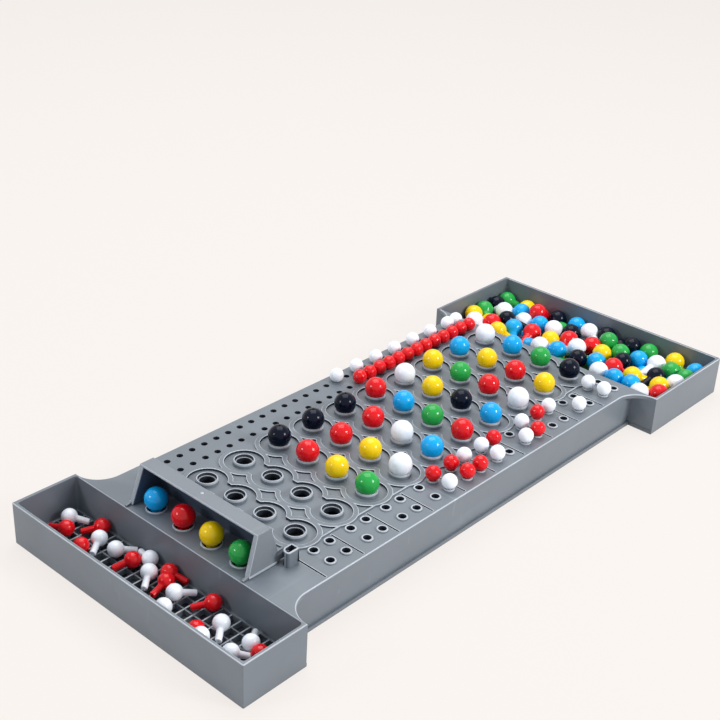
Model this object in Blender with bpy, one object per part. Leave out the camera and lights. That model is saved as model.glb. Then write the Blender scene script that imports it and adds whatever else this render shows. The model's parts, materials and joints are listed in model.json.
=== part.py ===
"""Code breaking peg game: a grey moulded board with two peg trays, a hinged shield, and its coloured pegs.

+X runs across the board towards the key peg panels, +Y from the near tray to the far tray and +Z up.
The origin lies under the middle of the board, on the surface that it stands on.
"""

import math

import bmesh
import bpy
from mathutils import Matrix, Vector

MM = 0.001

# Overall sizes of the board
NEAR_TRAY_DEPTH = 28.3 * MM
DECK_LENGTH = 222.0 * MM
FAR_TRAY_DEPTH = 57.0 * MM
TRAY_WIDTH = 126.8 * MM
DECK_WIDTH = 102.6 * MM
BOARD_HEIGHT = 18.3 * MM
WALL = 1.6 * MM
DECK_THICKNESS = 1.8 * MM
TRAY_FLOOR = 2.0 * MM
WALL_DRAFT = 0.8 * MM
FOOT_FLANGE = 1.7 * MM
CLEARANCE = 0.3 * MM
OVERRUN = 1.0 * MM
MERGE_DISTANCE = 0.001 * MM
SHORTEST_EDGE = 0.01 * MM
FLARE_STEPS = 6

# Where the holes are
SCORE_HOLES = 29
SCORE_FROM_EDGE = 31.8 * MM
SCORE_TO_FAR_EDGE = 8.2 * MM
SCORE_OUTER_X = -45.7 * MM
SCORE_ROW_GAP = 8.1 * MM
GUESS_ROWS = 10
GUESS_COLUMNS = 4
COLUMN_PITCH = 16.1 * MM
GUESS_FROM_EDGE = 33.8 * MM
GUESS_TO_FAR_EDGE = 12.7 * MM
SECRET_FROM_EDGE = 7.9 * MM
SECRET_PITCH = 15.5 * MM
KEY_PANEL_X = 40.6 * MM
KEY_SPACING = 8.3 * MM
KEY_PANEL_SHIFT = 1.3 * MM

# Code pegs and their holes
CODE_HEAD = 9.0 * MM
CODE_STEM = 4.7 * MM
CODE_TIP = 3.8 * MM
CODE_STEM_LENGTH = 8.6 * MM
STEM_PLAY = 0.7 * MM
CODE_COLLAR_HEIGHT = 1.2 * MM
CODE_COLLAR_BASE = 8.8 * MM
CODE_COLLAR_TOP = 7.9 * MM
CODE_SIDES = 7
HEAD_RING_ANGLES = (45, 0)

# Key pegs, which are also the score pegs, and their holes
KEY_HEAD = 6.3 * MM
KEY_STEM = 2.3 * MM
KEY_TIP = 2.0 * MM
KEY_STEM_LENGTH = 5.9 * MM
KEY_COLLAR_HEIGHT = 0.7 * MM
KEY_COLLAR = 4.6 * MM
KEY_SIDES = 6

# Small features of the board
CHANNEL_APART = 3.3 * MM
CHANNEL_NECK = 9.0 * MM
CHANNEL_DEPTH = 0.5 * MM
CHANNEL_STEPS = 4
DIVIDER_WIDTH = 0.6 * MM
DIVIDER_DEPTH = 0.4 * MM
DIVIDER_INNER_X = 33.9 * MM
DIVIDER_MARGIN = 1.2 * MM
LATTICE_PITCH = 4.6 * MM
LATTICE_RIB = 0.7 * MM
LATTICE_HEIGHT = 1.0 * MM
STIFFENER = 1.2 * MM
STIFFENER_DROP = 6.0 * MM
STIFFENED_ROWS = (0, 3, 6)

# Shield and its hinge
SHIELD_HEIGHT = 16.0 * MM
SHIELD_WALL = 1.2 * MM
SHIELD_WIDTH = 65.2 * MM
SHIELD_TOP_WIDTH = 63.8 * MM
SHIELD_FRONT = 2.6 * MM
SHIELD_BACK = 18.5 * MM
SHIELD_TOP_FRONT = 7.7 * MM
SHIELD_TOP_BACK = 14.2 * MM
SHIELD_TOE = 2.2 * MM
SHIELD_TOE_HEIGHT = 1.1 * MM
HINGE_FROM_EDGE = 20.0 * MM
HINGE_HEIGHT = 3.0 * MM
HINGE_EAR = 2.1 * MM
EAR_STEPS = 4
EAR_INSET = 0.15 * MM
PIN_DIAMETER = 2.4 * MM
PIN_PLAY = 0.6 * MM
PIN_LENGTH = 3.2 * MM
LUG_LENGTH = 5.9 * MM
LUG_WIDTH = 4.4 * MM
LUG_HEIGHT = 5.8 * MM
LUG_WALL = 1.1 * MM
LUG_GAP = 0.5 * MM

# Values that follow from the ones above
FLARE_RADIUS = (TRAY_WIDTH - DECK_WIDTH - WALL) / 2
SCORE_PITCH = (DECK_LENGTH - SCORE_FROM_EDGE - SCORE_TO_FAR_EDGE) / (SCORE_HOLES - 1)
ROW_PITCH = (DECK_LENGTH - GUESS_FROM_EDGE - GUESS_TO_FAR_EDGE) / (GUESS_ROWS - 1)
CHANNEL_RADIUS = (ROW_PITCH - CHANNEL_APART) / 2
LENGTH = NEAR_TRAY_DEPTH + DECK_LENGTH + FAR_TRAY_DEPTH
HALF_LENGTH = LENGTH / 2
HALF_TRAY = TRAY_WIDTH / 2
HALF_DECK = DECK_WIDTH / 2
DECK_NEAR_Y = NEAR_TRAY_DEPTH - HALF_LENGTH
DECK_FAR_Y = DECK_NEAR_Y + DECK_LENGTH
FIRST_ROW_Y = DECK_NEAR_Y + GUESS_FROM_EDGE
SCORE_FIRST_Y = DECK_NEAR_Y + SCORE_FROM_EDGE
SECRET_Y = DECK_NEAR_Y + SECRET_FROM_EDGE
HINGE_Y = DECK_NEAR_Y + HINGE_FROM_EDGE
HINGE_Z = BOARD_HEIGHT + HINGE_HEIGHT
SCORE_INNER_X = SCORE_OUTER_X + SCORE_ROW_GAP
CODE_HOLE = CODE_STEM + STEM_PLAY
KEY_HOLE = KEY_STEM + STEM_PLAY
PIN_HOLE = PIN_DIAMETER + PIN_PLAY

# Loose pegs, drawn a little fuller so that their faceted balls meet
LOOSE_KEY_HEAD = 7.2 * MM
LOOSE_KEY_STEM = 2.7 * MM
SCORE_ROW_MEETING = 0.5 * MM
SCORE_ROW_HEAD = SCORE_PITCH + SCORE_ROW_MEETING
HEAP_HEAD = 9.4 * MM
HEAP_LOW = 8.6 * MM
HEAP_HIGH = 13.6 * MM
HEAP_SHOWN = 1.6 * MM
HEAP_ACROSS_SHARE = 0.55
HEAP_RING_ANGLES = (45, 0, -45)

# Colours, as linear values, and how rough each plastic is
BOARD_GREY = (0.235, 0.255, 0.275)
BOARD_ROUGHNESS = 0.42
PEG_ROUGHNESS = 0.18
PEG_COLOURS = {
    "red": (0.70, 0.012, 0.018),
    "yellow": (0.90, 0.55, 0.01),
    "blue": (0.012, 0.26, 0.72),
    "green": (0.012, 0.27, 0.065),
    "black": (0.007, 0.012, 0.022),
    "white": (0.82, 0.82, 0.84),
}

# Which peg stands where, as read from the photograph
GUESSES = {
    3: ("black", "red", "yellow", "green"),
    4: ("black", "red", "yellow", "white"),
    5: ("black", "red", "white", "blue"),
    6: ("red", "blue", "green", "red"),
    7: ("white", "yellow", "black", "blue"),
    8: ("yellow", "green", "red", "white"),
    9: ("blue", "yellow", "red", "yellow"),
    10: ("white", "blue", "green", "black"),
}
SECRET = ("blue", "red", "yellow", "green")
KEYS = {
    4: {"far_left": "red", "far_right": "white"},
    5: {"near_left": "red", "near_right": "red", "far_right": "red", "far_left": "white"},
    6: {"far_left": "red", "near_left": "white", "near_right": "white"},
    7: {"far_right": "red", "near_right": "white", "far_left": "white"},
    8: {"near_left": "red", "far_left": "white"},
    9: {"near_right": "white"},
    10: {"near_left": "white", "near_right": "white"},
}
KEY_CORNERS = {"near_left": (-1, -1), "near_right": (1, -1), "far_left": (-1, 1), "far_right": (1, 1)}
RED_SCORE_HOLES = range(16, SCORE_HOLES)

# Where each group of key pegs lies, as a share of the near tray's width
LEFT_GROUP_SHARE = 0.30
MIDDLE_GROUP_SHARE = 0.73
RIGHT_GROUP_SHARE = 0.89

# Key pegs in each group: across from its middle as a share of a head, along as a share of the tray's depth,
# and where the stem points in degrees
LEFT_KEY_SHARES = (
    (-4.15, 0.65, 52), (-3.47, 0.52, 197), (-2.20, 0.78, -133), (-1.48, 0.67, -57), (-1.80, 0.47, -150),
    (-0.62, 0.68, 44), (1.01, 0.68, -110), (1.54, 0.83, 170), (2.32, 0.72, -53), (3.04, 0.83, 15),
    (3.73, 0.71, -74), (4.43, 0.56, 58), (4.86, 0.37, -102),
)
MIDDLE_KEY_SHARES = ((-0.84, 0.83, -122), (0.50, 0.59, -53), (-0.22, 0.38, 159), (0.58, 0.33, -20))
RIGHT_KEY_SHARES = ((-0.14, 0.65, 125), (-0.38, 0.32, 38), (0.69, 0.64, -60))

# Heads that show on top of the heap in the far tray: shares of its width and depth
HEAP_SHARES = (
    (0.00, 1.00), (0.13, 0.85), (0.16, 1.00), (0.24, 1.00), (0.32, 1.00), (0.39, 1.00), (0.48, 0.92),
    (0.54, 1.00), (0.62, 1.00), (0.68, 0.94), (0.76, 0.97), (0.88, 0.98), (1.00, 0.90), (0.00, 0.81),
    (0.07, 0.71), (0.19, 0.70), (0.21, 0.87), (0.27, 0.72), (0.35, 0.72), (0.42, 0.80), (0.58, 0.86),
    (0.56, 0.68), (0.68, 0.72), (0.77, 0.72), (0.85, 0.77), (0.92, 0.73), (1.00, 0.69), (0.00, 0.55),
    (0.16, 0.52), (0.22, 0.39), (0.30, 0.44), (0.40, 0.43), (0.46, 0.59), (0.53, 0.50), (0.63, 0.56),
    (0.74, 0.54), (0.91, 0.49), (1.00, 0.50), (0.00, 0.36), (0.06, 0.23), (0.12, 0.35), (0.19, 0.19),
    (0.41, 0.20), (0.49, 0.26), (0.59, 0.24), (0.66, 0.33), (0.74, 0.35), (0.84, 0.32), (0.96, 0.32),
    (0.72, 0.14), (0.80, 0.13), (0.88, 0.15), (0.94, 0.03), (1.00, 0.15),
)


def clear_scene():
    for thing in list(bpy.data.objects):
        bpy.data.objects.remove(thing, do_unlink=True)


def plastic(name, colour, roughness):
    material = bpy.data.materials.get(name) or bpy.data.materials.new(name)
    material.use_nodes = True
    shader = material.node_tree.nodes["Principled BSDF"]
    shader.inputs["Base Color"].default_value = (*colour, 1.0)
    shader.inputs["Roughness"].default_value = roughness
    shader.inputs["Metallic"].default_value = 0.0
    return material


def add_object(name, bm, material=None):
    """Closes the bmesh into a mesh object of this name."""
    bmesh.ops.recalc_face_normals(bm, faces=bm.faces)
    mesh = bpy.data.meshes.new(name)
    bm.to_mesh(mesh)
    bm.free()
    item = bpy.data.objects.new(name, mesh)
    bpy.context.scene.collection.objects.link(item)
    if material:
        mesh.materials.append(material)
    return item


def helper(name, bm):
    """A cutter or an added shape, which is no piece by itself."""
    item = add_object(name, bm)
    item.hide_render = True
    item.display_type = "WIRE"
    return item


def combine(target, other, operation):
    modifier = target.modifiers.new(f"{operation.lower()}_{other.name}", "BOOLEAN")
    modifier.operation = operation
    modifier.solver = "EXACT"
    modifier.object = other


def add_box(bm, low, high):
    """A box between two corners."""
    made = bmesh.ops.create_cube(bm, size=1.0)["verts"]
    low, high = Vector(low), Vector(high)
    for vert in made:
        vert.co = Vector(((low[i] + high[i]) / 2 + vert.co[i] * (high[i] - low[i]) for i in range(3)))
    return made


def add_frustum(bm, low, high, inset_bottom):
    """A box whose four sides draw in towards its bottom."""
    made = add_box(bm, low, high)
    middle = (Vector(low) + Vector(high)) / 2
    for vert in made:
        if vert.co.z < middle.z:
            vert.co.x -= math.copysign(inset_bottom, vert.co.x - middle.x)
            vert.co.y -= math.copysign(inset_bottom, vert.co.y - middle.y)


def add_prism(bm, outline, low, high):
    """An outline in the XY plane, raised from low to high."""
    face = bm.faces.new([bm.verts.new((x, y, low)) for x, y in outline])
    raised = bmesh.ops.extrude_face_region(bm, geom=[face])["geom"]
    for vert in (item for item in raised if isinstance(item, bmesh.types.BMVert)):
        vert.co.z = high


def add_turned(bm, profile, sides, place=(0, 0, 0)):
    """A profile of (radius, height) points turned about Z; ends on the axis close it, and a flat end is one face."""
    points = [bm.verts.new((radius, 0, height)) for radius, height in profile]
    edges = [bm.edges.new(pair) for pair in zip(points, points[1:])]
    bmesh.ops.spin(
        bm, geom=points + edges, cent=(0, 0, 0), axis=(0, 0, 1), angle=math.tau, steps=sides, use_merge=True
    )
    made = [vert for vert in bm.verts if not vert.tag]
    bmesh.ops.remove_doubles(bm, verts=made, dist=MERGE_DISTANCE)
    ends = [end[1] for end, after in ((profile[0], profile[1]), (profile[-1], profile[-2])) if end[1] == after[1]]
    centres = [
        vert for vert in bm.verts
        if not vert.tag and vert.co.xy.length < MERGE_DISTANCE
        and any(abs(vert.co.z - end) < MERGE_DISTANCE for end in ends)
    ]
    bmesh.ops.dissolve_verts(bm, verts=centres)
    made = [vert for vert in bm.verts if not vert.tag]
    bmesh.ops.rotate(bm, verts=made, cent=(0, 0, 0), matrix=Matrix.Rotation(math.pi / sides, 3, "Z"))
    bmesh.ops.translate(bm, verts=made, vec=place)
    for vert in made:
        vert.tag = True
    return made


def arc(centre, radius, start, end, steps):
    """Points on an arc, from one angle in degrees to another."""
    turns = [math.radians(start + (end - start) * step / steps) for step in range(steps + 1)]
    return [(centre[0] + radius * math.cos(turn), centre[1] + radius * math.sin(turn)) for turn in turns]


def board_outline():
    """The rim and deck seen from above: two wide trays, flared into the narrower deck."""
    flare_x = HALF_DECK + FLARE_RADIUS
    near, far = DECK_NEAR_Y + WALL / 2, DECK_FAR_Y - WALL / 2
    right = [(HALF_TRAY, -HALF_LENGTH), (HALF_TRAY, near)]
    right += arc((flare_x, near + FLARE_RADIUS), FLARE_RADIUS, 270, 180, FLARE_STEPS)
    right += arc((flare_x, far - FLARE_RADIUS), FLARE_RADIUS, 180, 90, FLARE_STEPS)
    right += [(HALF_TRAY, far), (HALF_TRAY, HALF_LENGTH)]
    kept = [point for i, point in enumerate(right) if i == 0 or math.dist(point, right[i - 1]) > SHORTEST_EDGE]
    return kept + [(-x, y) for x, y in reversed(kept)]


def code_places():
    """Centre of every code peg hole: the guess rows by row and column, then the secret row."""
    places = {}
    for row in range(1, GUESS_ROWS + 1):
        for column in range(1, GUESS_COLUMNS + 1):
            x = (column - (GUESS_COLUMNS + 1) / 2) * COLUMN_PITCH
            places[(row, column)] = (x, FIRST_ROW_Y + (row - 1) * ROW_PITCH)
    for column in range(1, GUESS_COLUMNS + 1):
        places[("secret", column)] = ((column - (GUESS_COLUMNS + 1) / 2) * SECRET_PITCH, SECRET_Y)
    return places


def key_places():
    """Centre of every key peg hole, by row and corner of its panel."""
    places = {}
    for row in range(1, GUESS_ROWS + 1):
        middle = FIRST_ROW_Y + (row - 1) * ROW_PITCH + KEY_PANEL_SHIFT
        for corner, (across, along) in KEY_CORNERS.items():
            places[(row, corner)] = (
                KEY_PANEL_X + across * KEY_SPACING / 2,
                middle + along * KEY_SPACING / 2,
            )
    return places


def score_place(line, number):
    x = SCORE_OUTER_X if line == "outer" else SCORE_INNER_X
    return x, SCORE_FIRST_Y + number * SCORE_PITCH


def ball_drop(head, width):
    """How far below its centre a ball of this diameter is as wide as given."""
    return math.sqrt((head / 2) ** 2 - (width / 2) ** 2)


CODE_HEAD_Z = BOARD_HEIGHT + CODE_COLLAR_HEIGHT + CLEARANCE + ball_drop(CODE_HEAD, CODE_HOLE)
KEY_HEAD_Z = BOARD_HEIGHT + KEY_COLLAR_HEIGHT + CLEARANCE + ball_drop(KEY_HEAD, KEY_HOLE)
SCORE_HEAD_Z = BOARD_HEIGHT + CLEARANCE + ball_drop(SCORE_ROW_HEAD, KEY_HOLE)


def board_body(material):
    """The moulding before its holes are cut: deck, skirt and the two tray boxes."""
    bm = bmesh.new()
    add_prism(bm, board_outline(), BOARD_HEIGHT - DECK_THICKNESS, BOARD_HEIGHT)
    board = add_object("base_board", bm, material)
    bm = bmesh.new()
    add_box(bm, (-HALF_TRAY, -HALF_LENGTH, 0), (HALF_TRAY, DECK_NEAR_Y + WALL / 2, BOARD_HEIGHT))
    combine(board, helper("near_tray_box", bm), "UNION")
    bm = bmesh.new()
    add_box(bm, (-HALF_TRAY, DECK_FAR_Y - WALL / 2, 0), (HALF_TRAY, HALF_LENGTH, BOARD_HEIGHT))
    combine(board, helper("far_tray_box", bm), "UNION")
    bm = bmesh.new()
    sunk = BOARD_HEIGHT - DECK_THICKNESS / 2
    add_frustum(
        bm,
        (-HALF_DECK + CLEARANCE, DECK_NEAR_Y - OVERRUN, 0),
        (HALF_DECK - CLEARANCE, DECK_FAR_Y + OVERRUN, sunk),
        WALL_DRAFT,
    )
    combine(board, helper("skirt", bm), "UNION")
    bm = bmesh.new()
    add_box(
        bm,
        (-HALF_DECK, DECK_NEAR_Y - WALL / 2, 0),
        (HALF_DECK, DECK_FAR_Y + WALL / 2, FOOT_FLANGE),
    )
    combine(board, helper("foot_flange", bm), "UNION")
    for name, low, high in tray_hollows():
        bm = bmesh.new()
        add_frustum(bm, low, high, WALL_DRAFT / 2)
        combine(board, helper(name, bm), "DIFFERENCE")
    inner = HALF_DECK - CLEARANCE - WALL
    bm = bmesh.new()
    add_frustum(
        bm,
        (-inner, DECK_NEAR_Y + WALL / 2, -OVERRUN),
        (inner, DECK_FAR_Y - WALL / 2, BOARD_HEIGHT - DECK_THICKNESS),
        WALL_DRAFT,
    )
    combine(board, helper("deck_hollow", bm), "DIFFERENCE")
    return board


def tray_hollows():
    """The two tray insides, as (name, low corner, high corner)."""
    top = BOARD_HEIGHT + OVERRUN
    inner = HALF_TRAY - WALL
    return (
        ("near_tray_hollow", (-inner, -HALF_LENGTH + WALL, TRAY_FLOOR), (inner, DECK_NEAR_Y, top)),
        ("far_tray_hollow", (-inner, DECK_FAR_Y, TRAY_FLOOR), (inner, HALF_LENGTH - WALL, top)),
    )


def collars():
    """Collars round the code and key holes, all standing on the deck."""
    bm = bmesh.new()
    sunk = BOARD_HEIGHT - DECK_THICKNESS / 2
    for x, y in code_places().values():
        top = BOARD_HEIGHT + CODE_COLLAR_HEIGHT
        profile = [(0, sunk), (CODE_COLLAR_BASE / 2, sunk), (CODE_COLLAR_BASE / 2, BOARD_HEIGHT)]
        profile += [(CODE_COLLAR_TOP / 2, top), (0, top)]
        add_turned(bm, profile, CODE_SIDES, (x, y, 0))
    for x, y in key_places().values():
        add_bore(bm, x, y, KEY_COLLAR / 2, KEY_SIDES, sunk, BOARD_HEIGHT + KEY_COLLAR_HEIGHT)
    return helper("collars", bm)


def divider_cutters():
    """Fine grooves between the panels of key holes."""
    bm = bmesh.new()
    for row in range(GUESS_ROWS):
        middle = FIRST_ROW_Y + (row - 1 / 2) * ROW_PITCH
        add_box(
            bm,
            (DIVIDER_INNER_X, middle - DIVIDER_WIDTH / 2, BOARD_HEIGHT - DIVIDER_DEPTH),
            (HALF_DECK - DIVIDER_MARGIN, middle + DIVIDER_WIDTH / 2, BOARD_HEIGHT + OVERRUN),
        )
    return helper("panel_dividers", bm)


def hinge_lugs():
    bm = bmesh.new()
    sunk = BOARD_HEIGHT - DECK_THICKNESS / 2
    inner = SHIELD_WIDTH / 2 + LUG_GAP
    for side in (-1, 1):
        near, far = sorted((side * inner, side * (inner + LUG_WIDTH)))
        add_box(
            bm,
            (near, HINGE_Y - LUG_LENGTH / 2, sunk),
            (far, HINGE_Y + LUG_LENGTH / 2, BOARD_HEIGHT + LUG_HEIGHT),
        )
    return helper("hinge_lugs", bm)


def lug_cutters():
    """The pin holes and the pockets behind them, open at the top."""
    inner = SHIELD_WIDTH / 2 + LUG_GAP
    pocket_half = LUG_LENGTH / 2 - LUG_WALL
    bm = bmesh.new()
    for side in (-1, 1):
        near, far = sorted((side * (inner + LUG_WALL), side * (inner + LUG_WIDTH - LUG_WALL)))
        add_box(
            bm,
            (near, HINGE_Y - pocket_half, BOARD_HEIGHT + LUG_WALL),
            (far, HINGE_Y + pocket_half, BOARD_HEIGHT + LUG_HEIGHT + OVERRUN),
        )
    pockets = helper("lug_pockets", bm)
    bm = bmesh.new()
    for side in (-1, 1):
        add_pin(bm, side, inner - LUG_GAP / 2, inner + LUG_WALL + LUG_GAP, PIN_HOLE)
    return pockets, helper("pin_holes", bm)


def add_pin(bm, side, start, end, diameter):
    """A round bar along X, from start to end on this side of the board, on the hinge axis."""
    turn = Matrix.Rotation(side * math.pi / 2, 3, "Y")
    made = add_turned(bm, [(0, 0), (diameter / 2, 0), (diameter / 2, end - start), (0, end - start)], CODE_SIDES)
    bmesh.ops.rotate(bm, verts=made, cent=(0, 0, 0), matrix=turn)
    bmesh.ops.translate(bm, verts=made, vec=(side * start, HINGE_Y, HINGE_Z))


def hole_cutters():
    """Every bore through the deck, as one cutter."""
    bm = bmesh.new()
    below = BOARD_HEIGHT - DECK_THICKNESS - OVERRUN
    for x, y in code_places().values():
        add_bore(bm, x, y, CODE_HOLE / 2, CODE_SIDES, below, BOARD_HEIGHT + CODE_COLLAR_HEIGHT + OVERRUN)
    for x, y in key_places().values():
        add_bore(bm, x, y, KEY_HOLE / 2, KEY_SIDES, below, BOARD_HEIGHT + KEY_COLLAR_HEIGHT + OVERRUN)
    for line in ("outer", "inner"):
        for number in range(SCORE_HOLES):
            x, y = score_place(line, number)
            add_bore(bm, x, y, KEY_HOLE / 2, KEY_SIDES, below, BOARD_HEIGHT + OVERRUN)
    return helper("bores", bm)


def add_bore(bm, x, y, radius, sides, low, high):
    add_turned(bm, [(0, low), (radius, low), (radius, high), (0, high)], sides, (x, y, 0))


def channel_outline(row):
    """One row's shallow channel: four round wells joined by straight necks."""
    neck = math.asin(CHANNEL_NECK / 2 / CHANNEL_RADIUS)
    if CHANNEL_RADIUS > (COLUMN_PITCH - CLEARANCE) / 2:
        neck = max(neck, math.acos((COLUMN_PITCH - CLEARANCE) / 2 / CHANNEL_RADIUS))
    open_angle = math.degrees(neck)
    centres = [code_places()[(row, column)] for column in range(1, GUESS_COLUMNS + 1)]
    lower, upper = [], []
    for index, centre in enumerate(centres):
        first = 180 if index == 0 else 180 + open_angle
        last = 360 if index == GUESS_COLUMNS - 1 else 360 - open_angle
        lower += arc(centre, CHANNEL_RADIUS, first, last, CHANNEL_STEPS)
        upper += [(x, 2 * centre[1] - y) for x, y in arc(centre, CHANNEL_RADIUS, first, last, CHANNEL_STEPS)]
    return lower + [point for point in reversed(upper[1:-1])]


def channel_cutters():
    """The shallow channels, each with an island left for the collar of every hole."""
    bm = bmesh.new()
    for row in range(1, GUESS_ROWS + 1):
        add_prism(bm, channel_outline(row), BOARD_HEIGHT - CHANNEL_DEPTH, BOARD_HEIGHT + OVERRUN)
    return helper("channels", bm)


def floor_ribs():
    """Cross ribs on the near tray's floor, and stiffening ribs under the deck."""
    bm = bmesh.new()
    inner = HALF_TRAY - WALL
    count = int(2 * inner / LATTICE_PITCH)
    for index in range(1, count):
        x = -inner + 2 * inner * index / count
        add_box(
            bm,
            (x - LATTICE_RIB / 2, -HALF_LENGTH + WALL / 2, TRAY_FLOOR / 2),
            (x + LATTICE_RIB / 2, DECK_NEAR_Y + WALL / 4, TRAY_FLOOR + LATTICE_HEIGHT),
        )
    foot = BOARD_HEIGHT - DECK_THICKNESS - STIFFENER_DROP
    for row in STIFFENED_ROWS:
        middle = FIRST_ROW_Y + (row + 1 / 2) * ROW_PITCH
        add_box(
            bm,
            (SCORE_INNER_X + SCORE_PITCH / 2, middle - STIFFENER / 2, foot),
            (HALF_DECK - WALL, middle + STIFFENER / 2, BOARD_HEIGHT - DECK_THICKNESS / 2),
        )
    return helper("ribs", bm)


def make_board():
    """The whole board moulding, root of everything else."""
    board = board_body(plastic("board_plastic", BOARD_GREY, BOARD_ROUGHNESS))
    combine(board, channel_cutters(), "DIFFERENCE")
    combine(board, divider_cutters(), "DIFFERENCE")
    combine(board, collars(), "UNION")
    combine(board, hinge_lugs(), "UNION")
    pockets, pin_holes = lug_cutters()
    combine(board, pockets, "DIFFERENCE")
    combine(board, pin_holes, "DIFFERENCE")
    combine(board, hole_cutters(), "DIFFERENCE")
    combine(board, floor_ribs(), "UNION")
    return board


def add_shield_prism(bm, profile, half_bottom, half_top, low, high):
    """A (y, z) profile across the board, its ends leaning in from half_bottom to half_top between two heights."""
    def half_at(z):
        return half_bottom + (half_top - half_bottom) * (z - low) / (high - low)

    left = [bm.verts.new((-half_at(z), y, z)) for y, z in profile]
    right = [bm.verts.new((half_at(z), y, z)) for y, z in profile]
    bm.faces.new(left)
    bm.faces.new(reversed(right))
    for index in range(len(profile)):
        after = (index + 1) % len(profile)
        bm.faces.new((left[index], right[index], right[after], left[after]))


def make_shield():
    """The shield over the secret row: top, sloping back and two end walls, with its hinge pins."""
    low = BOARD_HEIGHT + CLEARANCE
    high = BOARD_HEIGHT + SHIELD_HEIGHT
    front, back = DECK_NEAR_Y + SHIELD_FRONT, DECK_NEAR_Y + SHIELD_BACK
    top_front, top_back = DECK_NEAR_Y + SHIELD_TOP_FRONT, DECK_NEAR_Y + SHIELD_TOP_BACK
    half, half_top = SHIELD_WIDTH / 2, SHIELD_TOP_WIDTH / 2
    bm = bmesh.new()
    outline = [(front, low), (back, low), (top_back, high), (top_front, high)]
    add_shield_prism(bm, outline, half, half_top, low, high)
    shield = add_object("code_shield", bm, plastic("board_plastic", BOARD_GREY, BOARD_ROUGHNESS))
    lean = (back - top_back) / (high - low)
    ceiling = high - SHIELD_WALL
    bm = bmesh.new()
    inside = [
        (front - SHIELD_BACK, low - OVERRUN),
        (back - SHIELD_WALL + lean * OVERRUN, low - OVERRUN),
        (top_back - SHIELD_WALL + lean * SHIELD_WALL, ceiling),
        (front - SHIELD_BACK, ceiling),
    ]
    add_shield_prism(bm, inside, half - SHIELD_WALL, half_top - SHIELD_WALL, low, high)
    combine(shield, helper("shield_hollow", bm), "DIFFERENCE")
    combine(shield, shield_ears(low), "UNION")
    combine(shield, shield_pins(), "UNION")
    combine(shield, shield_toes(low), "UNION")
    shield.data.transform(Matrix.Translation((0, -HINGE_Y, -HINGE_Z)))
    shield.location = (0, HINGE_Y, HINGE_Z)
    return shield


def shield_ears(low):
    """Round ears behind the end walls, which carry the pins."""
    bm = bmesh.new()
    outer = SHIELD_WIDTH / 2 - EAR_INSET
    inner = SHIELD_WIDTH / 2 - SHIELD_WALL + EAR_INSET
    floor = max(low, HINGE_Z - HINGE_EAR)
    root = DECK_NEAR_Y + SHIELD_TOP_BACK
    profile = [(root, floor)]
    profile += [(y, max(z, floor)) for y, z in arc((HINGE_Y, HINGE_Z), HINGE_EAR, -90, 90, EAR_STEPS)]
    profile += [(root, HINGE_Z + HINGE_EAR)]
    for side in (-1, 1):
        first = bm.faces.new([bm.verts.new((side * inner, y, z)) for y, z in profile])
        pushed = bmesh.ops.extrude_face_region(bm, geom=[first])["geom"]
        for vert in (item for item in pushed if isinstance(item, bmesh.types.BMVert)):
            vert.co.x = side * outer
    return helper("shield_ears", bm)


def shield_pins():
    bm = bmesh.new()
    for side in (-1, 1):
        add_pin(bm, side, (SHIELD_WIDTH - SHIELD_WALL) / 2, SHIELD_WIDTH / 2 + PIN_LENGTH, PIN_DIAMETER)
    return helper("shield_pins", bm)


def shield_toes(low):
    """A small foot that runs forward from the front corner of each end wall."""
    bm = bmesh.new()
    front = DECK_NEAR_Y + SHIELD_FRONT
    for side in (-1, 1):
        outer = SHIELD_WIDTH / 2 - EAR_INSET
        near, far = sorted((side * outer, side * (outer - SHIELD_WALL + 2 * EAR_INSET)))
        add_box(bm, (near, front - SHIELD_TOE, low), (far, front + SHIELD_WALL, low + SHIELD_TOE_HEIGHT))
    return helper("shield_toes", bm)


def peg_profile(head, stem, tip, length, head_z=0.0):
    """Ball head and tapered stem of a peg, from the top down."""
    radius = head / 2
    neck = head_z - ball_drop(head, stem)
    turns = [math.radians(angle) for angle in HEAD_RING_ANGLES]
    profile = [(0, head_z + radius)]
    profile += [(radius * math.cos(turn), head_z + radius * math.sin(turn)) for turn in turns]
    return profile + [(stem / 2, neck), (tip / 2, neck - length), (0, neck - length)]


def make_peg(name, profile, sides, x, y, colour):
    bm = bmesh.new()
    add_turned(bm, profile, sides)
    peg = add_object(name, bm, plastic(f"peg_{colour}", PEG_COLOURS[colour], PEG_ROUGHNESS))
    peg.location = (x, y, 0)
    for polygon in peg.data.polygons:
        polygon.use_smooth = True
    return peg


def make_pegs():
    """Every peg that stands in a guess, secret or key hole, each on the axis that it lifts along."""
    places = code_places()
    code = peg_profile(CODE_HEAD, CODE_STEM, CODE_TIP, CODE_STEM_LENGTH, CODE_HEAD_Z)
    for row, colours in GUESSES.items():
        for column, colour in enumerate(colours, 1):
            make_peg(f"code_peg_r{row:02d}_c{column}_{colour}", code, CODE_SIDES, *places[(row, column)], colour)
    for column, colour in enumerate(SECRET, 1):
        make_peg(f"secret_peg_c{column}_{colour}", code, CODE_SIDES, *places[("secret", column)], colour)
    spots = key_places()
    key = peg_profile(KEY_HEAD, KEY_STEM, KEY_TIP, KEY_STEM_LENGTH, KEY_HEAD_Z)
    for row, corners in KEYS.items():
        for corner, colour in corners.items():
            make_peg(f"key_peg_r{row:02d}_{corner}_{colour}", key, KEY_SIDES, *spots[(row, corner)], colour)


def make_score_row():
    """The red score pegs of the inner row, whose heads touch, as one piece."""
    profile = peg_profile(SCORE_ROW_HEAD, KEY_STEM, KEY_TIP, KEY_STEM_LENGTH, SCORE_HEAD_Z)
    row = None
    for number in RED_SCORE_HOLES:
        x, y = score_place("inner", number)
        bm = bmesh.new()
        add_turned(bm, profile, KEY_SIDES, (x, y, 0))
        row = join_peg(row, "score_pegs_red", bm, "red")


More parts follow.
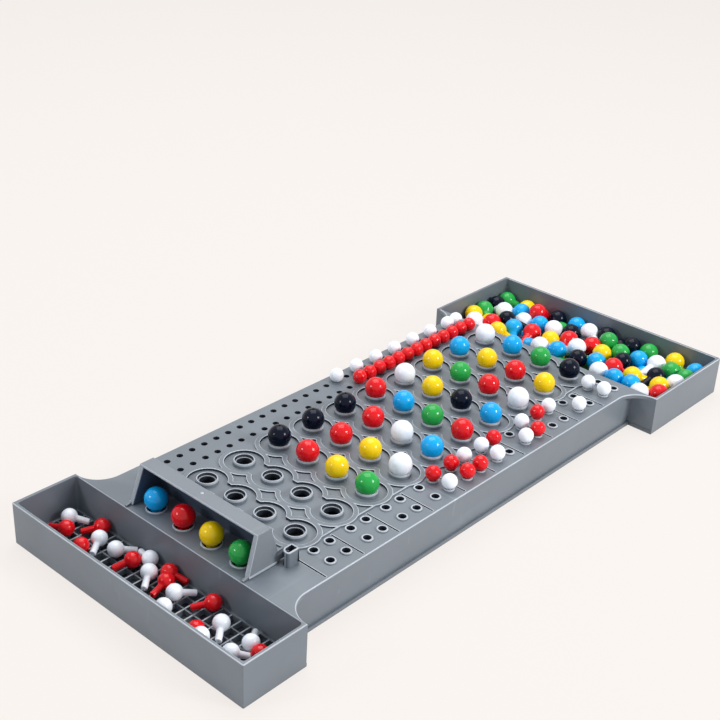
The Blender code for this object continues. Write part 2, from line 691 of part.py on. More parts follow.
def join_peg(group, name, bm, colour):
    """Starts a group of touching pegs with this one, or joins it to the group."""
    if group is None:
        return add_object(name, bm, plastic(f"peg_{colour}", PEG_COLOURS[colour], PEG_ROUGHNESS))
    combine(group, helper(f"{name}_more", bm), "UNION")
    return group


def make_loose_key_pegs():
    """Three groups of key pegs that lie against each other on the near tray's ribs."""
    groups = {
        "left": (LEFT_GROUP_SHARE, LEFT_KEY_SHARES),
        "middle": (MIDDLE_GROUP_SHARE, MIDDLE_KEY_SHARES),
        "right": (RIGHT_GROUP_SHARE, RIGHT_KEY_SHARES),
    }
    profile = peg_profile(LOOSE_KEY_HEAD, LOOSE_KEY_STEM, LOOSE_KEY_STEM, KEY_STEM_LENGTH)
    reach = -profile[-1][1]
    rest_z = TRAY_FLOOR + LATTICE_HEIGHT + CLEARANCE + LOOSE_KEY_HEAD / 2
    tilt = math.asin((LOOSE_KEY_HEAD - LOOSE_KEY_STEM) / 2 / reach)
    inner = HALF_TRAY - WALL
    depth = NEAR_TRAY_DEPTH - WALL
    for side, (group_share, shares) in groups.items():
        group = None
        middle = -inner + 2 * inner * group_share
        for across, along, heading in shares:
            place = (middle + LOOSE_KEY_HEAD * across, -HALF_LENGTH + WALL + depth * along, rest_z)
            bm = bmesh.new()
            made = add_turned(bm, profile, KEY_SIDES)
            lay = Matrix.Rotation(math.radians(heading), 3, "Z") @ Matrix.Rotation(tilt - math.pi / 2, 3, "Y")
            bmesh.ops.rotate(bm, verts=made, cent=(0, 0, 0), matrix=lay)
            bmesh.ops.translate(bm, verts=made, vec=place)
            group = join_peg(group, f"loose_key_pegs_{side}", bm, "white")


def heap_height(across, along):
    """Height of the heap's topmost head centres: lowest at the far left corner, highest at the near right."""
    share = HEAP_ACROSS_SHARE * across + (1 - HEAP_ACROSS_SHARE) * (1 - along)
    return HEAP_LOW + (HEAP_HIGH - HEAP_LOW) * share


def make_heap():
    """The heap of loose code pegs: a solid bed for the layers that nothing shows, with the top heads on it."""
    half = HALF_TRAY - WALL - WALL_DRAFT / 2 - CLEARANCE
    near, far = DECK_FAR_Y + WALL_DRAFT / 2 + CLEARANCE, HALF_LENGTH - WALL - WALL_DRAFT / 2 - CLEARANCE
    bm = bmesh.new()
    for vert in add_box(bm, (-half, near, TRAY_FLOOR + CLEARANCE), (half, far, BOARD_HEIGHT)):
        if vert.co.z > TRAY_FLOOR + WALL:
            vert.co.z = heap_height(vert.co.x > 0, vert.co.y > near + WALL) - HEAP_SHOWN
    heap = add_object("loose_code_pegs", bm, plastic("peg_yellow", PEG_COLOURS["yellow"], PEG_ROUGHNESS))
    radius = HEAP_HEAD / 2
    turns = [math.radians(angle) for angle in HEAP_RING_ANGLES]
    ball = [(0, radius), *((radius * math.cos(turn), radius * math.sin(turn)) for turn in turns), (0, -radius)]
    bm = bmesh.new()
    for across, along in HEAP_SHARES:
        x = (2 * across - 1) * (half - radius)
        y = near + radius + (far - near - HEAP_HEAD) * along
        add_turned(bm, ball, KEY_SIDES, (x, y, heap_height(across, along)))
    combine(heap, helper("heap_heads", bm), "UNION")
    heap.modifiers[-1].use_self = True


clear_scene()
make_board()
make_shield()
make_pegs()
make_score_row()
make_loose_key_pegs()
make_heap()
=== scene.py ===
# A code breaking peg game: moulded board, hinged shield, standing pegs and two trays of loose pegs.
# Shapes are modelled in millimetres and scaled to metres when each piece is finished.
import bpy
import bmesh
import json
import random
from math import acos, asin, cos, degrees, pi, radians, sin, sqrt
from mathutils import Matrix, Vector

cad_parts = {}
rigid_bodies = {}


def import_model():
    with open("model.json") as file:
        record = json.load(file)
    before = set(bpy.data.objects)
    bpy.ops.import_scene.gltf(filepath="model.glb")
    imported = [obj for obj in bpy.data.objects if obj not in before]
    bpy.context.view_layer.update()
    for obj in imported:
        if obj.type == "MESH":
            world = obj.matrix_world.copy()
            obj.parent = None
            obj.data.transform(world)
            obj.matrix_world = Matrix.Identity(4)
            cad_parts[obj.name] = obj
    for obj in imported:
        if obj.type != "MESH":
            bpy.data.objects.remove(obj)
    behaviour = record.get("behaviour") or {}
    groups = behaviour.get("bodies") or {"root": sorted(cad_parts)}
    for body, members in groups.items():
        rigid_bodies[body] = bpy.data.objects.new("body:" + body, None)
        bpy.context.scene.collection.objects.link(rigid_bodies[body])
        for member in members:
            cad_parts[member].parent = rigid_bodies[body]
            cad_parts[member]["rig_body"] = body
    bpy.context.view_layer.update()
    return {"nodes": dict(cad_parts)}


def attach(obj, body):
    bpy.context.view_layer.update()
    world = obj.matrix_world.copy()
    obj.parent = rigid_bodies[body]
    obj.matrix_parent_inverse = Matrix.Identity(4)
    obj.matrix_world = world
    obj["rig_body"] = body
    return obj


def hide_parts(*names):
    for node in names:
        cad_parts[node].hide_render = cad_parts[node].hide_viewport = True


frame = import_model()
scene = bpy.context.scene
mm = 0.001


def placed(name, data):
    obj = bpy.data.objects.new(name, data)
    scene.collection.objects.link(obj)
    return obj


def meshOf(bm, name="helper"):
    mesh = bpy.data.meshes.new(name)
    bm.to_mesh(mesh)
    bm.free()
    return mesh


# camera, lights and stage
view = {
    "place": (297.09, -370.09, 295.87), "azimuth": 41.368, "elevation": 27.717, "roll": 2.702,
    "lens": 64.734, "sensor": 36.0, "pixels": 720, "target": (0, 0, 12), "clip": (0.01, 20),
}


def viewAxes():
    turn, rise, roll = (radians(view[name]) for name in ("azimuth", "elevation", "roll"))
    forward = Vector((-sin(turn) * cos(rise), cos(turn) * cos(rise), -sin(rise)))
    level = forward.cross(Vector((0, 0, 1))).normalized()
    right = cos(roll) * level + sin(roll) * level.cross(forward)
    return right, right.cross(forward), -forward


def aimed(axes, place):
    turn = Matrix(axes).transposed().to_4x4()
    return Matrix.Translation(place) @ turn


def makeCamera():
    data = bpy.data.cameras.new("camera")
    data.lens, data.sensor_width = view["lens"], view["sensor"]
    data.clip_start, data.clip_end = view["clip"]
    camera = placed("camera", data)
    camera.matrix_world = aimed(viewAxes(), Vector(view["place"]) * mm)
    scene.camera = camera


def onPlane(pixel, height):
    # where the line of sight through a pixel of the photograph meets a level plane, in mm
    right, up, back = viewAxes()
    scale = view["sensor"] / view["lens"] / view["pixels"]
    middle = view["pixels"] / 2
    ray = right * (pixel[0] - middle) * scale + up * (middle - pixel[1]) * scale - back
    start = Vector(view["place"])
    return start + ray * ((height - start.z) / ray.z)


lights = {
    "left": {"aim": (-0.8, 0.25, 0.55), "size": 0.15, "power": 1.75},
    "right": {"aim": (0.8, 0.25, 0.55), "size": 0.25, "power": 6.1},
    "top": {"aim": (0.0, 0.98, 0.15), "size": 0.8, "power": 7.5},
}
surround = {
    "daylight": (0.36, 0.41, 0.475), "backdrop": (0.925, 0.875, 0.835), "shadowShare": 0.12,
    "floorHalf": 6, "floorDrop": 0.0001, "floorRoughness": 0.9,
    # half sides of the floor that only the board's own holes show, and how far its colour is darkened there
    # as painted shade
    "underBoard": (0.0505, 0.145), "underPaintedShade": 0.05,
}


def reckon(tree, kind, first, second):
    # a math node fed by sockets or plain numbers
    node = tree.nodes.new("ShaderNodeMath")
    node.operation = kind
    for socket, source in zip(node.inputs, (first, second)):
        if isinstance(source, (int, float)):
            socket.default_value = source
        else:
            tree.links.new(source, socket)
    return node.outputs["Value"]


def seenDirectly(tree):
    # 1 for rays from the camera, a gloss or through glass, 0 for the rest
    path = tree.nodes.new("ShaderNodeLightPath").outputs
    direct = reckon(tree, "MAXIMUM", path["Is Camera Ray"], path["Is Glossy Ray"])
    return reckon(tree, "MAXIMUM", direct, path["Is Transmission Ray"])


def makeLights():
    right, up, back = viewAxes()
    for name, light in lights.items():
        x, y, z = light["aim"]
        away = (right * x + up * y + back * z).normalized()
        data = bpy.data.lights.new(name, "AREA")
        data.size, data.energy = light["size"], light["power"]
        lamp = placed(name, data)
        side = away.cross(Vector((0, 0, 1))).normalized()
        lamp.matrix_world = aimed((side, away.cross(side), away), Vector(view["target"]) * mm + away)


def makeSurround():
    world = bpy.data.worlds.new("surround")
    scene.world = world
    world.use_nodes = True
    nodes, links = world.node_tree.nodes, world.node_tree.links
    daylight, backdrop = nodes["Background"], nodes.new("ShaderNodeBackground")
    daylight.inputs["Color"].default_value = (*surround["daylight"], 1)
    backdrop.inputs["Color"].default_value = (*surround["backdrop"], 1)
    mix = nodes.new("ShaderNodeMixShader")
    links.new(seenDirectly(world.node_tree), mix.inputs["Fac"])
    links.new(daylight.outputs["Background"], mix.inputs[1])
    links.new(backdrop.outputs["Background"], mix.inputs[2])
    links.new(mix.outputs["Shader"], nodes["World Output"].inputs["Surface"])


def makeFloor():
    bm = bmesh.new()
    bmesh.ops.create_grid(bm, x_segments=1, y_segments=1, size=surround["floorHalf"])
    bmesh.ops.translate(bm, verts=bm.verts, vec=(0, 0, -surround["floorDrop"]))
    mesh = meshOf(bm, "floor")
    floor = placed("floor", mesh)
    material = bpy.data.materials.new("paleFloor")
    material.use_nodes = True
    tree = material.node_tree
    nodes, links = tree.nodes, tree.links
    shader = nodes["Principled BSDF"]
    shader.inputs["Roughness"].default_value = surround["floorRoughness"]
    glow = nodes.new("ShaderNodeEmission")
    glow.inputs["Color"].default_value = (*surround["backdrop"], 1)
    mix = nodes.new("ShaderNodeMixShader")
    place = nodes.new("ShaderNodeTexCoord")
    split = nodes.new("ShaderNodeSeparateXYZ")
    links.new(place.outputs["Object"], split.inputs["Vector"])
    # under the board, where its holes look down on it, the floor keeps its full shadow, and its colour is
    # darkened there as painted shade
    outside = [reckon(tree, "GREATER_THAN", reckon(tree, "ABSOLUTE", split.outputs[axis], 0.0), half)
               for axis, half in zip("XY", surround["underBoard"])]
    around = reckon(tree, "MAXIMUM", *outside)
    shade = nodes.new("ShaderNodeVectorMath")
    shade.operation = "SCALE"
    shade.inputs[0].default_value = surround["backdrop"]
    links.new(reckon(tree, "MAXIMUM", around, surround["underPaintedShade"]), shade.inputs["Scale"])
    links.new(shade.outputs["Vector"], shader.inputs["Base Color"])
    share = reckon(tree, "MULTIPLY", around, 1 - surround["shadowShare"])
    links.new(reckon(tree, "MULTIPLY", share, seenDirectly(tree)), mix.inputs["Fac"])
    links.new(shader.outputs["BSDF"], mix.inputs[1])
    links.new(glow.outputs["Emission"], mix.inputs[2])
    links.new(mix.outputs["Shader"], nodes["Material Output"].inputs["Surface"])
    mesh.materials.append(material)


makeCamera()
makeLights()
makeSurround()
makeFloor()
print("camera, lights and floor made")


# finishes
def linear(red, green, blue):
    # screen values of 0 to 255 as the renderer's light values
    def one(value):
        share = value / 255
        return share / 12.92 if share <= 0.04045 else ((share + 0.055) / 1.055) ** 2.4
    return one(red), one(green), one(blue)


wear = {
    # each noise: scale, detail, the range that is drawn out, and how it is turned and stretched
    "clouds": (34, 4, (0.3, 0.7), None),
    "flow": (60, 3, (0.35, 0.65), {"turn": (0.2, 0.1, 0.5), "scale": (1, 0.18, 1)}),
    "mark": (240, 2, (0.63, 0.72), {"turn": (0.3, 0.2, 0.9), "scale": (1, 0.045, 0.3)}),
    "markPatches": (21, 2, (0.5, 0.62), None),
    "cross": (310, 2, (0.65, 0.73), {"turn": (-0.2, 0.4, -0.6), "scale": (0.05, 1, 0.3)}),
    "crossPatches": (27, 2, (0.52, 0.64), None),
    "grain": (2600, 2), "sink": (85, 1),
    # how much of each is seen in the colour, the roughness and the relief
    "flowTone": 0.5, "rubTone": 0.45, "cloudRough": 0.035, "rubRough": 0.3, "grainRough": 0.04,
    "grainRelief": 0.05, "rubRelief": 0.2,
}


def makeWearGroup():
    # grain, flow clouding, sink marks and rub marks of moulded plastic
    group = bpy.data.node_groups.new("mouldedSurface", "ShaderNodeTree")
    put = group.interface.new_socket
    for name, value in (("Color", None), ("Clouding", 0.06), ("Polish", 0.3), ("Rub", 0.2), ("Size", 1.0)):
        kind = "NodeSocketColor" if value is None else "NodeSocketFloat"
        socket = put(name=name, in_out="INPUT", socket_type=kind)
        if value is not None:
            socket.default_value = value
    put(name="Color", in_out="OUTPUT", socket_type="NodeSocketColor")
    put(name="Roughness", in_out="OUTPUT", socket_type="NodeSocketFloat")
    put(name="Height", in_out="OUTPUT", socket_type="NodeSocketFloat")
    nodes, links = group.nodes, group.links
    given, out = nodes.new("NodeGroupInput"), nodes.new("NodeGroupOutput")
    place = nodes.new("ShaderNodeTexCoord")
    sized = nodes.new("ShaderNodeVectorMath")
    sized.operation = "SCALE"
    links.new(place.outputs["Object"], sized.inputs[0])
    links.new(given.outputs["Size"], sized.inputs["Scale"])

    def noise(scale, detail, stretch=None):
        node = nodes.new("ShaderNodeTexNoise")
        node.inputs["Scale"].default_value = scale
        node.inputs["Detail"].default_value = detail
        source = sized.outputs["Vector"]
        if stretch:
            turn = nodes.new("ShaderNodeMapping")
            turn.inputs["Rotation"].default_value = stretch["turn"]
            turn.inputs["Scale"].default_value = stretch["scale"]
            links.new(source, turn.inputs["Vector"])
            source = turn.outputs["Vector"]
        links.new(source, node.inputs["Vector"])
        return node.outputs["Fac"]

    def layer(name, least=0):
        # a noise whose range is drawn out to reach from the least value to 1
        scale, detail, (low, high), stretch = wear[name]
        node = nodes.new("ShaderNodeMapRange")
        for socket, value in (("From Min", low), ("From Max", high), ("To Min", least), ("To Max", 1)):
            node.inputs[socket].default_value = value
        links.new(noise(scale, detail, stretch), node.inputs["Value"])
        return node.outputs["Result"]

    def add(first, second):
        return reckon(group, "ADD", first, second)

    def share(source, name):
        return reckon(group, "MULTIPLY", source, wear[name])

    clouds, flow = layer("clouds", -1), layer("flow", -1)
    grain, sink = noise(*wear["grain"]), noise(*wear["sink"])
    marks, cross = (reckon(group, "MULTIPLY", layer(name), layer(name + "Patches"))
                    for name in ("mark", "cross"))
    rubs = reckon(group, "MULTIPLY", reckon(group, "MAXIMUM", marks, cross), given.outputs["Rub"])
    tone = reckon(group, "MULTIPLY", add(clouds, share(flow, "flowTone")), given.outputs["Clouding"])
    shade = nodes.new("ShaderNodeVectorMath")
    shade.operation = "SCALE"
    links.new(given.outputs["Color"], shade.inputs[0])
    links.new(add(add(1.0, tone), share(rubs, "rubTone")), shade.inputs["Scale"])
    links.new(shade.outputs["Vector"], out.inputs["Color"])
    rough = add(add(given.outputs["Polish"], share(clouds, "cloudRough")), share(rubs, "rubRough"))
    links.new(add(rough, share(grain, "grainRough")), out.inputs["Roughness"])
    relief = add(share(grain, "grainRelief"), sink)
    links.new(reckon(group, "SUBTRACT", relief, share(rubs, "rubRelief")), out.inputs["Height"])
    return group


def plastic(name, colour, polish, clouding, rub, size=1.0, waviness=0.0002, gloss=0.5):
    material = bpy.data.materials.new(name)
    material.use_nodes = True
    nodes, links = material.node_tree.nodes, material.node_tree.links
    shader = nodes["Principled BSDF"]
    surface = nodes.new("ShaderNodeGroup")
    surface.node_tree = mouldedSurface
    surface.inputs["Color"].default_value = (*colour, 1)
    for socket, value in (("Polish", polish), ("Clouding", clouding), ("Rub", rub), ("Size", size)):
        surface.inputs[socket].default_value = value
    bump = nodes.new("ShaderNodeBump")
    bump.inputs["Strength"].default_value = 1.0
    bump.inputs["Distance"].default_value = waviness
    links.new(surface.outputs["Color"], shader.inputs["Base Color"])
    links.new(surface.outputs["Roughness"], shader.inputs["Roughness"])
    links.new(surface.outputs["Height"], bump.inputs["Height"])
    links.new(bump.outputs["Normal"], shader.inputs["Normal"])
    shader.inputs["IOR"].default_value = 1.5
    shader.inputs["Specular IOR Level"].default_value = gloss
    material.diffuse_color = (*colour, 1)
    return material


mouldedSurface = makeWearGroup()
greys = {
    # screen colour, polish, clouding and rub marks
    # the edge grey is a painted highlight on rims and edges; the lattice grey is painted shade in cells,
    # holes and walls of the hollows; the shade grey is painted shade inside the shield
    "board": ((112, 119, 126), 0.36, 0.05, 0.5), "edge": ((180, 185, 191), 0.3, 0.08, 0.6),
    "lattice": ((34, 40, 50), 0.5, 0.08, 0.2), "shade": ((75, 86, 104), 0.34, 0.05, 0.3),
    "shield": ((123, 129, 135), 0.34, 0.04, 0.35),
}
pegColours = {
    "red": (227, 10, 24), "yellow": (254, 210, 0), "blue": (0, 168, 236),
    "green": (34, 164, 70), "black": (2, 12, 32), "white": (246, 249, 254),
}
pegSurface = {"polish": 0.13, "clouding": 0.03, "rub": 0.25, "size": 2.0, "waviness": 0.00006}
pegGloss = {"black": 0.16, "others": 0.34}
greyPlastic = {
    name: plastic(name + "Grey", linear(*colour), *surface)
    for name, (colour, *surface) in greys.items()
}
pegPlastic = {
    name: plastic(name + "Peg", linear(*colour), **pegSurface, gloss=pegGloss.get(name, pegGloss["others"]))
    for name, colour in pegColours.items()
}
plain, paintedShade, paintedHighlight = 0, 1, 2  # the places of a grey piece's materials: its own grey, painted shade and a painted highlight
print("plastics made")


# modelling helpers, in mm
planes = {
    # how a flat drawing (u, v) at a level stands in the model, and the axis that its angles turn about
    "plan": (lambda u, v, level: Vector((u, v, level)), Vector((0, 0, 1))),
    "side": (lambda u, v, level: Vector((level, u, v)), Vector((1, 0, 0))),
    "front": (lambda u, v, level: Vector((u, level, v)), Vector((0, -1, 0))),
}
# distances within which points become one
weld = {"drawing": 1e-3, "shape": 1e-4, "piece": 2e-4}


def welded(bm, verts, kind):
    bmesh.ops.remove_doubles(bm, verts=verts, dist=weld[kind])


def facedOut(bm):
    bmesh.ops.recalc_face_normals(bm, faces=bm.faces)


def bevelled(bm, edges, offset, steps=2):
    bmesh.ops.bevel(bm, geom=edges, offset=offset, segments=steps, profile=0.5, affect="EDGES", material=-1)


def dropped(bm, faces):
    bmesh.ops.delete(bm, geom=faces, context="FACES")


def painted(faces, paint):
    for face in faces:
        face.material_index = paint


def edgesOf(verts):
    return list({edge: True for vert in verts if vert.is_valid for edge in vert.link_edges})


def facesOf(verts):
    return list({face: True for vert in verts for face in vert.link_faces})


def atHeight(verts, level):
    return [vert for vert in verts if abs(vert.co.z - level) < 0.01]


def isLevel(item, level, within=1e-3):
    # whether an edge or a face lies at one height
    return all(abs(vert.co.z - level) < within for vert in item.verts)


def climb(bands):
    # how far a run of bands rises
    return sum(band[1] for band in bands)


def island(vert):
    # every vertex that edges join to this one
    seen, front = {vert: True}, [vert]
    while front:
        at = front.pop()
        for edge in at.link_edges:
            other = edge.other_vert(at)
            if other not in seen:
                seen[other] = True
                front.append(other)
    return list(seen)


def drawn(bm, stops, level=0.0, plane="plan", closed=True):
    # a line through points (u, v) and arcs (centre u, centre v, radius, first angle, last angle, steps);
    # each arc is one point spun about its centre
    put, axis = planes[plane]
    start, last = None, None
    for stop in stops:
        if len(stop) == 2:
            first = end = bm.verts.new(put(*stop, level))
        else:
            u, v, radius, begin, finish, steps = stop
            turn = radians(begin)
            first = bm.verts.new(put(u + radius * cos(turn), v + radius * sin(turn), level))
            made = bmesh.ops.spin(bm, geom=[first], cent=put(u, v, level), axis=axis,
                                  angle=radians(finish - begin), steps=steps)
            end = next(item for item in made["geom_last"] if isinstance(item, bmesh.types.BMVert))
        if last is not None:
            bm.edges.new((last, first))
        start, last = start or first, end
    if closed:
        bm.edges.new((last, start))
    return island(start)


def upward(face):
    face.normal_update()
    if face.normal.z < 0:
        face.normal_flip()
    return face


def outlineFace(bm, stops, level=0.0, plane="plan"):
    verts = drawn(bm, stops, level, plane)
    welded(bm, verts, "drawing")
    face = bmesh.ops.edgeloop_fill(bm, edges=edgesOf(verts), mat_nr=0, use_smooth=True)["faces"][0]
    face.normal_update()
    return upward(face) if plane == "plan" else face


def circleFace(bm, radius, steps, level):
    made = bmesh.ops.create_circle(bm, cap_ends=True, segments=steps, radius=radius,
                                   matrix=Matrix.Translation((0, 0, level)))
    return upward(made["verts"][0].link_faces[0])


def pushCap(bm, cap, steps):
    # moves of a face inward and along its normal, each leaving a band behind it, painted if that is given
    cap.normal_update()
    normal = cap.normal.copy()
    for inward, along, *paint in steps:
        made = bmesh.ops.inset_region(bm, faces=[cap], thickness=inward, use_even_offset=True,
                                      use_boundary=True)
        if paint:
            painted(made["faces"], paint[0])
        bmesh.ops.translate(bm, verts=cap.verts, vec=normal * along)
    return cap


def raised(bm, face, height):
    # closes a lone face into a solid and gives its new end
    made = bmesh.ops.extrude_face_region(bm, geom=[face])["geom"]
    end = next(item for item in made if isinstance(item, bmesh.types.BMFace))
    end.normal_update()
    bmesh.ops.translate(bm, verts=end.verts, vec=height)
    if end.normal.dot(Vector(height)) < 0:
        end.normal_flip()
    return end


def block(bm, low, high, rounding=0.0, isRounded=None):
    low, high = Vector(low), Vector(high)
    size = Matrix.Diagonal((high - low).to_4d())
    size[3][3] = 1
    verts = bmesh.ops.create_cube(bm, size=1, matrix=Matrix.Translation((low + high) / 2) @ size)["verts"]
    if rounding:
        bevelled(bm, [edge for edge in edgesOf(verts) if isRounded is None or isRounded(edge)], rounding)
    return verts


def rod(bm, place, radius, length, steps):
    # a round bar along X
    turn = Matrix.Translation(place) @ Matrix.Rotation(pi / 2, 4, "Y")
    return bmesh.ops.create_cone(bm, cap_ends=True, segments=steps, radius1=radius, radius2=radius,
                                 depth=length, matrix=turn)["verts"]


def turned(bm, profile, steps, turn=None):
    # a lathe shape from a profile of (radius, height) stops, then put in place by a matrix
    verts = drawn(bm, profile, 0.0, "front", closed=False)
    bmesh.ops.spin(bm, geom=verts + edgesOf(verts), cent=(0, 0, 0), axis=(0, 0, 1),
                   angle=2 * pi, steps=steps, use_merge=True)
    made = island(verts[0])
    welded(bm, made, "shape")
    made = [vert for vert in made if vert.is_valid]
    if turn is not None:
        bmesh.ops.transform(bm, matrix=turn, verts=made)
    return made


def pattern(build, *values):
    # a shape that repeats is made once
    bm = bmesh.new()
    build(bm, *values)
    return meshOf(bm)


def stamped(bm, mesh, matrix):
    copy = mesh.copy()
    copy.transform(matrix)
    bm.from_mesh(copy)
    bpy.data.meshes.remove(copy)


def loose(bm):
    welded(bm, bm.verts, "shape")
    facedOut(bm)
    return placed("helper", meshOf(bm))


def applied(obj, others=()):
    graph = bpy.context.evaluated_depsgraph_get()
    mesh = bpy.data.meshes.new_from_object(obj.evaluated_get(graph))
    bm = bmesh.new()
    bm.from_mesh(mesh)
    bpy.data.meshes.remove(mesh)
    for item in (obj, *others):
        bpy.data.objects.remove(item)
    return bm


def carved(bm, cutters):
    base, others = loose(bm), [loose(cutter) for cutter in cutters]
    for other in others:
        modifier = base.modifiers.new("carve", "BOOLEAN")
        modifier.object, modifier.operation, modifier.solver = other, "DIFFERENCE", "EXACT"
    return applied(base, others)


def added(bm, other):
    mesh = meshOf(other)
    bm.from_mesh(mesh)
    bpy.data.meshes.remove(mesh)


def mirrored(bm):
    bmesh.ops.scale(bm, vec=(-1, 1, 1), verts=bm.verts)
    bmesh.ops.reverse_faces(bm, faces=bm.faces)
    return bm


def filled(bm, level):
    # closes every open loop at one height, islands and holes included
    edges = [edge for edge in bm.edges if edge.is_boundary and isLevel(edge, level)]
    bmesh.ops.triangle_fill(bm, use_beauty=True, use_dissolve=False, edges=edges, normal=(0, 0, 1))


def finished(bm, name, body, materials, replaces, crease, weighted=True):
    welded(bm, bm.verts, "piece")
    facedOut(bm)
    bmesh.ops.scale(bm, vec=(mm, mm, mm), verts=bm.verts)
    openEdges = sum(edge.is_boundary for edge in bm.edges)
    mesh = meshOf(bm, name)
    for material in materials:
        mesh.materials.append(material)
    mesh.shade_smooth()
    mesh.set_sharp_from_angle(angle=radians(crease))
    obj = placed(name, mesh)
    if weighted:
        modifier = obj.modifiers.new("flatter", "WEIGHTED_NORMAL")
        modifier.keep_sharp = True
    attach(obj, body)
    if replaces:
        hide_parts(*replaces)
    print(name, "made:", len(mesh.polygons), "faces,", openEdges, "open edges")


# board moulding
board = {
    "halfTray": 63.4, "halfLength": 153.65, "halfDeck": 51.3, "deckNear": -125.35, "deckFar": 96.65,
    "top": 18.3, "underside": 16.5, "wall": 1.4, "behind": 0.8, "flare": 11.3, "flareSteps": 14, "foot": 1.7,
    "corner": 0.45, "topEdge": 0.34, "footEdge": 0.3,
    # how far the skirt stands in from the deck's side, at its top and foot, and how far the end walls lean
    "skirtTop": 0.3, "skirtFoot": 0.9, "lean": 0.2, "ledge": 0.8,
    # the deck's rolled side edge: (outward, up)
    "roll": ((-0.05, 0.22), (-0.15, 0.17), (-0.26, 0.13)),
    # the space under the deck
    "hollow": 1.9, "hollowLean": 0.8, "hollowShare": 0.993, "skirtWall": 1.5,
    # cutters reach past what they cut
    "under": -1, "past": 8, "below": 0.5, "over": (-0.4, 0.3),
    "flatAngle": 0.4,  # degrees under which cut faces are joined
}
trays = {
    # a wall's upright start, the spread of its foot bands, its lean, and the radius of the corners
    "floor": 2.0, "start": 0.06, "spread": 0.3, "draft": 0.38, "corner": 0.7,
    # bands up the walls' feet and over their rims: (outward, up)
    "foot": ((-0.12, 0.05), (-0.12, 0.14), (-0.06, 0.2)), "rim": ((-0.08, 0.13), (-0.17, 0.12)),
    "over": (-0.3, 0.4),
}
lattice = {"top": 3.0, "cells": (26, 5), "depth": 2.2, "rib": 0.62, "margin": 0.9, "draft": 0.08}
# rims painted pale as a highlight: their slope, their depth, and the width at the left in which they stay
# unpainted
highlightedRims = {"least": 0.25, "most": 0.93, "depth": 0.6, "unpaintedLeft": 2.6}
holes = {
    "rows": 10, "columns": 4, "columnPitch": 16.1, "rowPitch": 19.5, "firstRow": -91.55,
    "secretY": -117.45, "secretPitch": 15.5, "keyX": 40.6, "keySpacing": 8.3, "keyShift": 1.3,
    "scoreX": (-45.7, -37.6), "scoreFirst": -93.55, "scorePitch": 6.5, "scores": 29,
}
wells = {
    "radius": 8.35, "neck": 4.65, "outer": 9.9, "outerNeck": 6.3, "base": 10.15, "baseNeck": 6.55,
    "edge": 33.1, "lip": 0.5, "steps": {"well": 14, "side": 12, "diamond": 10, "triangle": 8},
    # bands of each form: (inward, along, material)
    # pale bands are a painted highlight along the edges, dark bands painted shade down the walls
    "rise": ((0.06, 0.62, plain), (0.26, 0.2, paintedHighlight)),
    "sides": ((0.26, -0.12, paintedHighlight), (0.05, -0.92, paintedShade), (0.2, -0.06, plain)),
    "diamond": ((0.26, -0.12, paintedHighlight), (0.05, -0.62, paintedShade)),
}
collars = {
    # bands over the ring and down into the hole: (inward, along, material)
    # pale bands are a painted highlight on the ring's rim, dark bands painted shade down into the hole
    "code": {"radius": 4.6, "steps": 32, "sides": (
        (0.1, 0.85, plain), (0.2, 0.65, paintedHighlight), (0.1, 0.1, paintedHighlight), (0.3, 0.0, paintedHighlight), (0.08, -0.08, paintedHighlight),
        (0.3, -1.05, paintedShade), (0.12, -0.03, paintedHighlight), (0.3, -0.12, plain), (0.05, -0.2, paintedShade))},
    "secret": {"radius": 4.25, "steps": 32, "sides": (
        (0.08, 0.25, plain), (0.15, 0.3, paintedHighlight), (0.08, 0.08, paintedHighlight), (0.3, 0.0, paintedHighlight), (0.25, -0.45, paintedShade),
        (0.3, -0.1, plain))},
    "key": {"radius": 2.38, "steps": 24, "sides": (
        (0.08, 0.3, plain), (0.1, 0.3, paintedHighlight), (0.08, 0.08, paintedHighlight), (0.42, 0.0, paintedHighlight), (0.08, -0.08, paintedHighlight),
        (0.1, -0.25, paintedShade))},
    "score": {"radius": 1.42, "steps": 18, "sides": ((0.06, -0.05, plain), (0.03, -0.2, paintedShade))},
}


def codePlace(row, column):
    middle = (holes["columns"] + 1) / 2
    if row == 0:  # the hidden row under the shield
        return (column - middle) * holes["secretPitch"], holes["secretY"]
    return (column - middle) * holes["columnPitch"], holes["firstRow"] + (row - 1) * holes["rowPitch"]


def keyPlace(row, corner):
    near, left = corner.startswith("near"), corner.endswith("left")
    half = holes["keySpacing"] / 2
    middle = holes["firstRow"] + (row - 1) * holes["rowPitch"] + holes["keyShift"]
    return holes["keyX"] + (-half if left else half), middle + (-half if near else half)


def scorePlace(line, number):
    return holes["scoreX"][line], holes["scoreFirst"] + number * holes["scorePitch"]


rows = range(1, holes["rows"] + 1)
columns = range(1, holes["columns"] + 1)
keyCorners = ("near_left", "near_right", "far_left", "far_right")


def sideCutters():
    # cut away beside the deck: above, the flared outline; below, the skirt and the trays' inward walls
    near, far = board["deckNear"] + board["behind"], board["deckFar"] - board["behind"]
    half, flare, out = board["halfDeck"], board["flare"], board["halfTray"] + board["past"]
    foot, under, steps = board["foot"], board["underside"], board["flareSteps"]
    upper = bmesh.new()
    stops = [(out, near), (half + flare, near + flare, flare, 270, 180, steps),
             (half + flare, far - flare, flare, 180, 90, steps), (out, far)]
    low = under - board["below"]
    end = raised(upper, outlineFace(upper, stops, low), (0, 0, board["top"] - low - climb(board["roll"])))
    pushCap(upper, end, (*board["roll"], board["over"]))
    lower = bmesh.new()
    wide, lean = out - half + board["skirtFoot"], board["lean"]
    verts = block(lower, (out - wide, near - lean, foot), (out, far + lean, under))
    size = ((out - half + board["skirtTop"]) / wide, (far - near) / (far - near + 2 * lean), 1)
    centre = Matrix.Translation((-out, -(near + far) / 2, 0))
    bmesh.ops.scale(lower, vec=size, space=centre, verts=atHeight(verts, under))
    step = bmesh.new()
    block(step, (half, near, board["under"]), (out, far, foot + board["ledge"]))
    return [upper, lower, step]


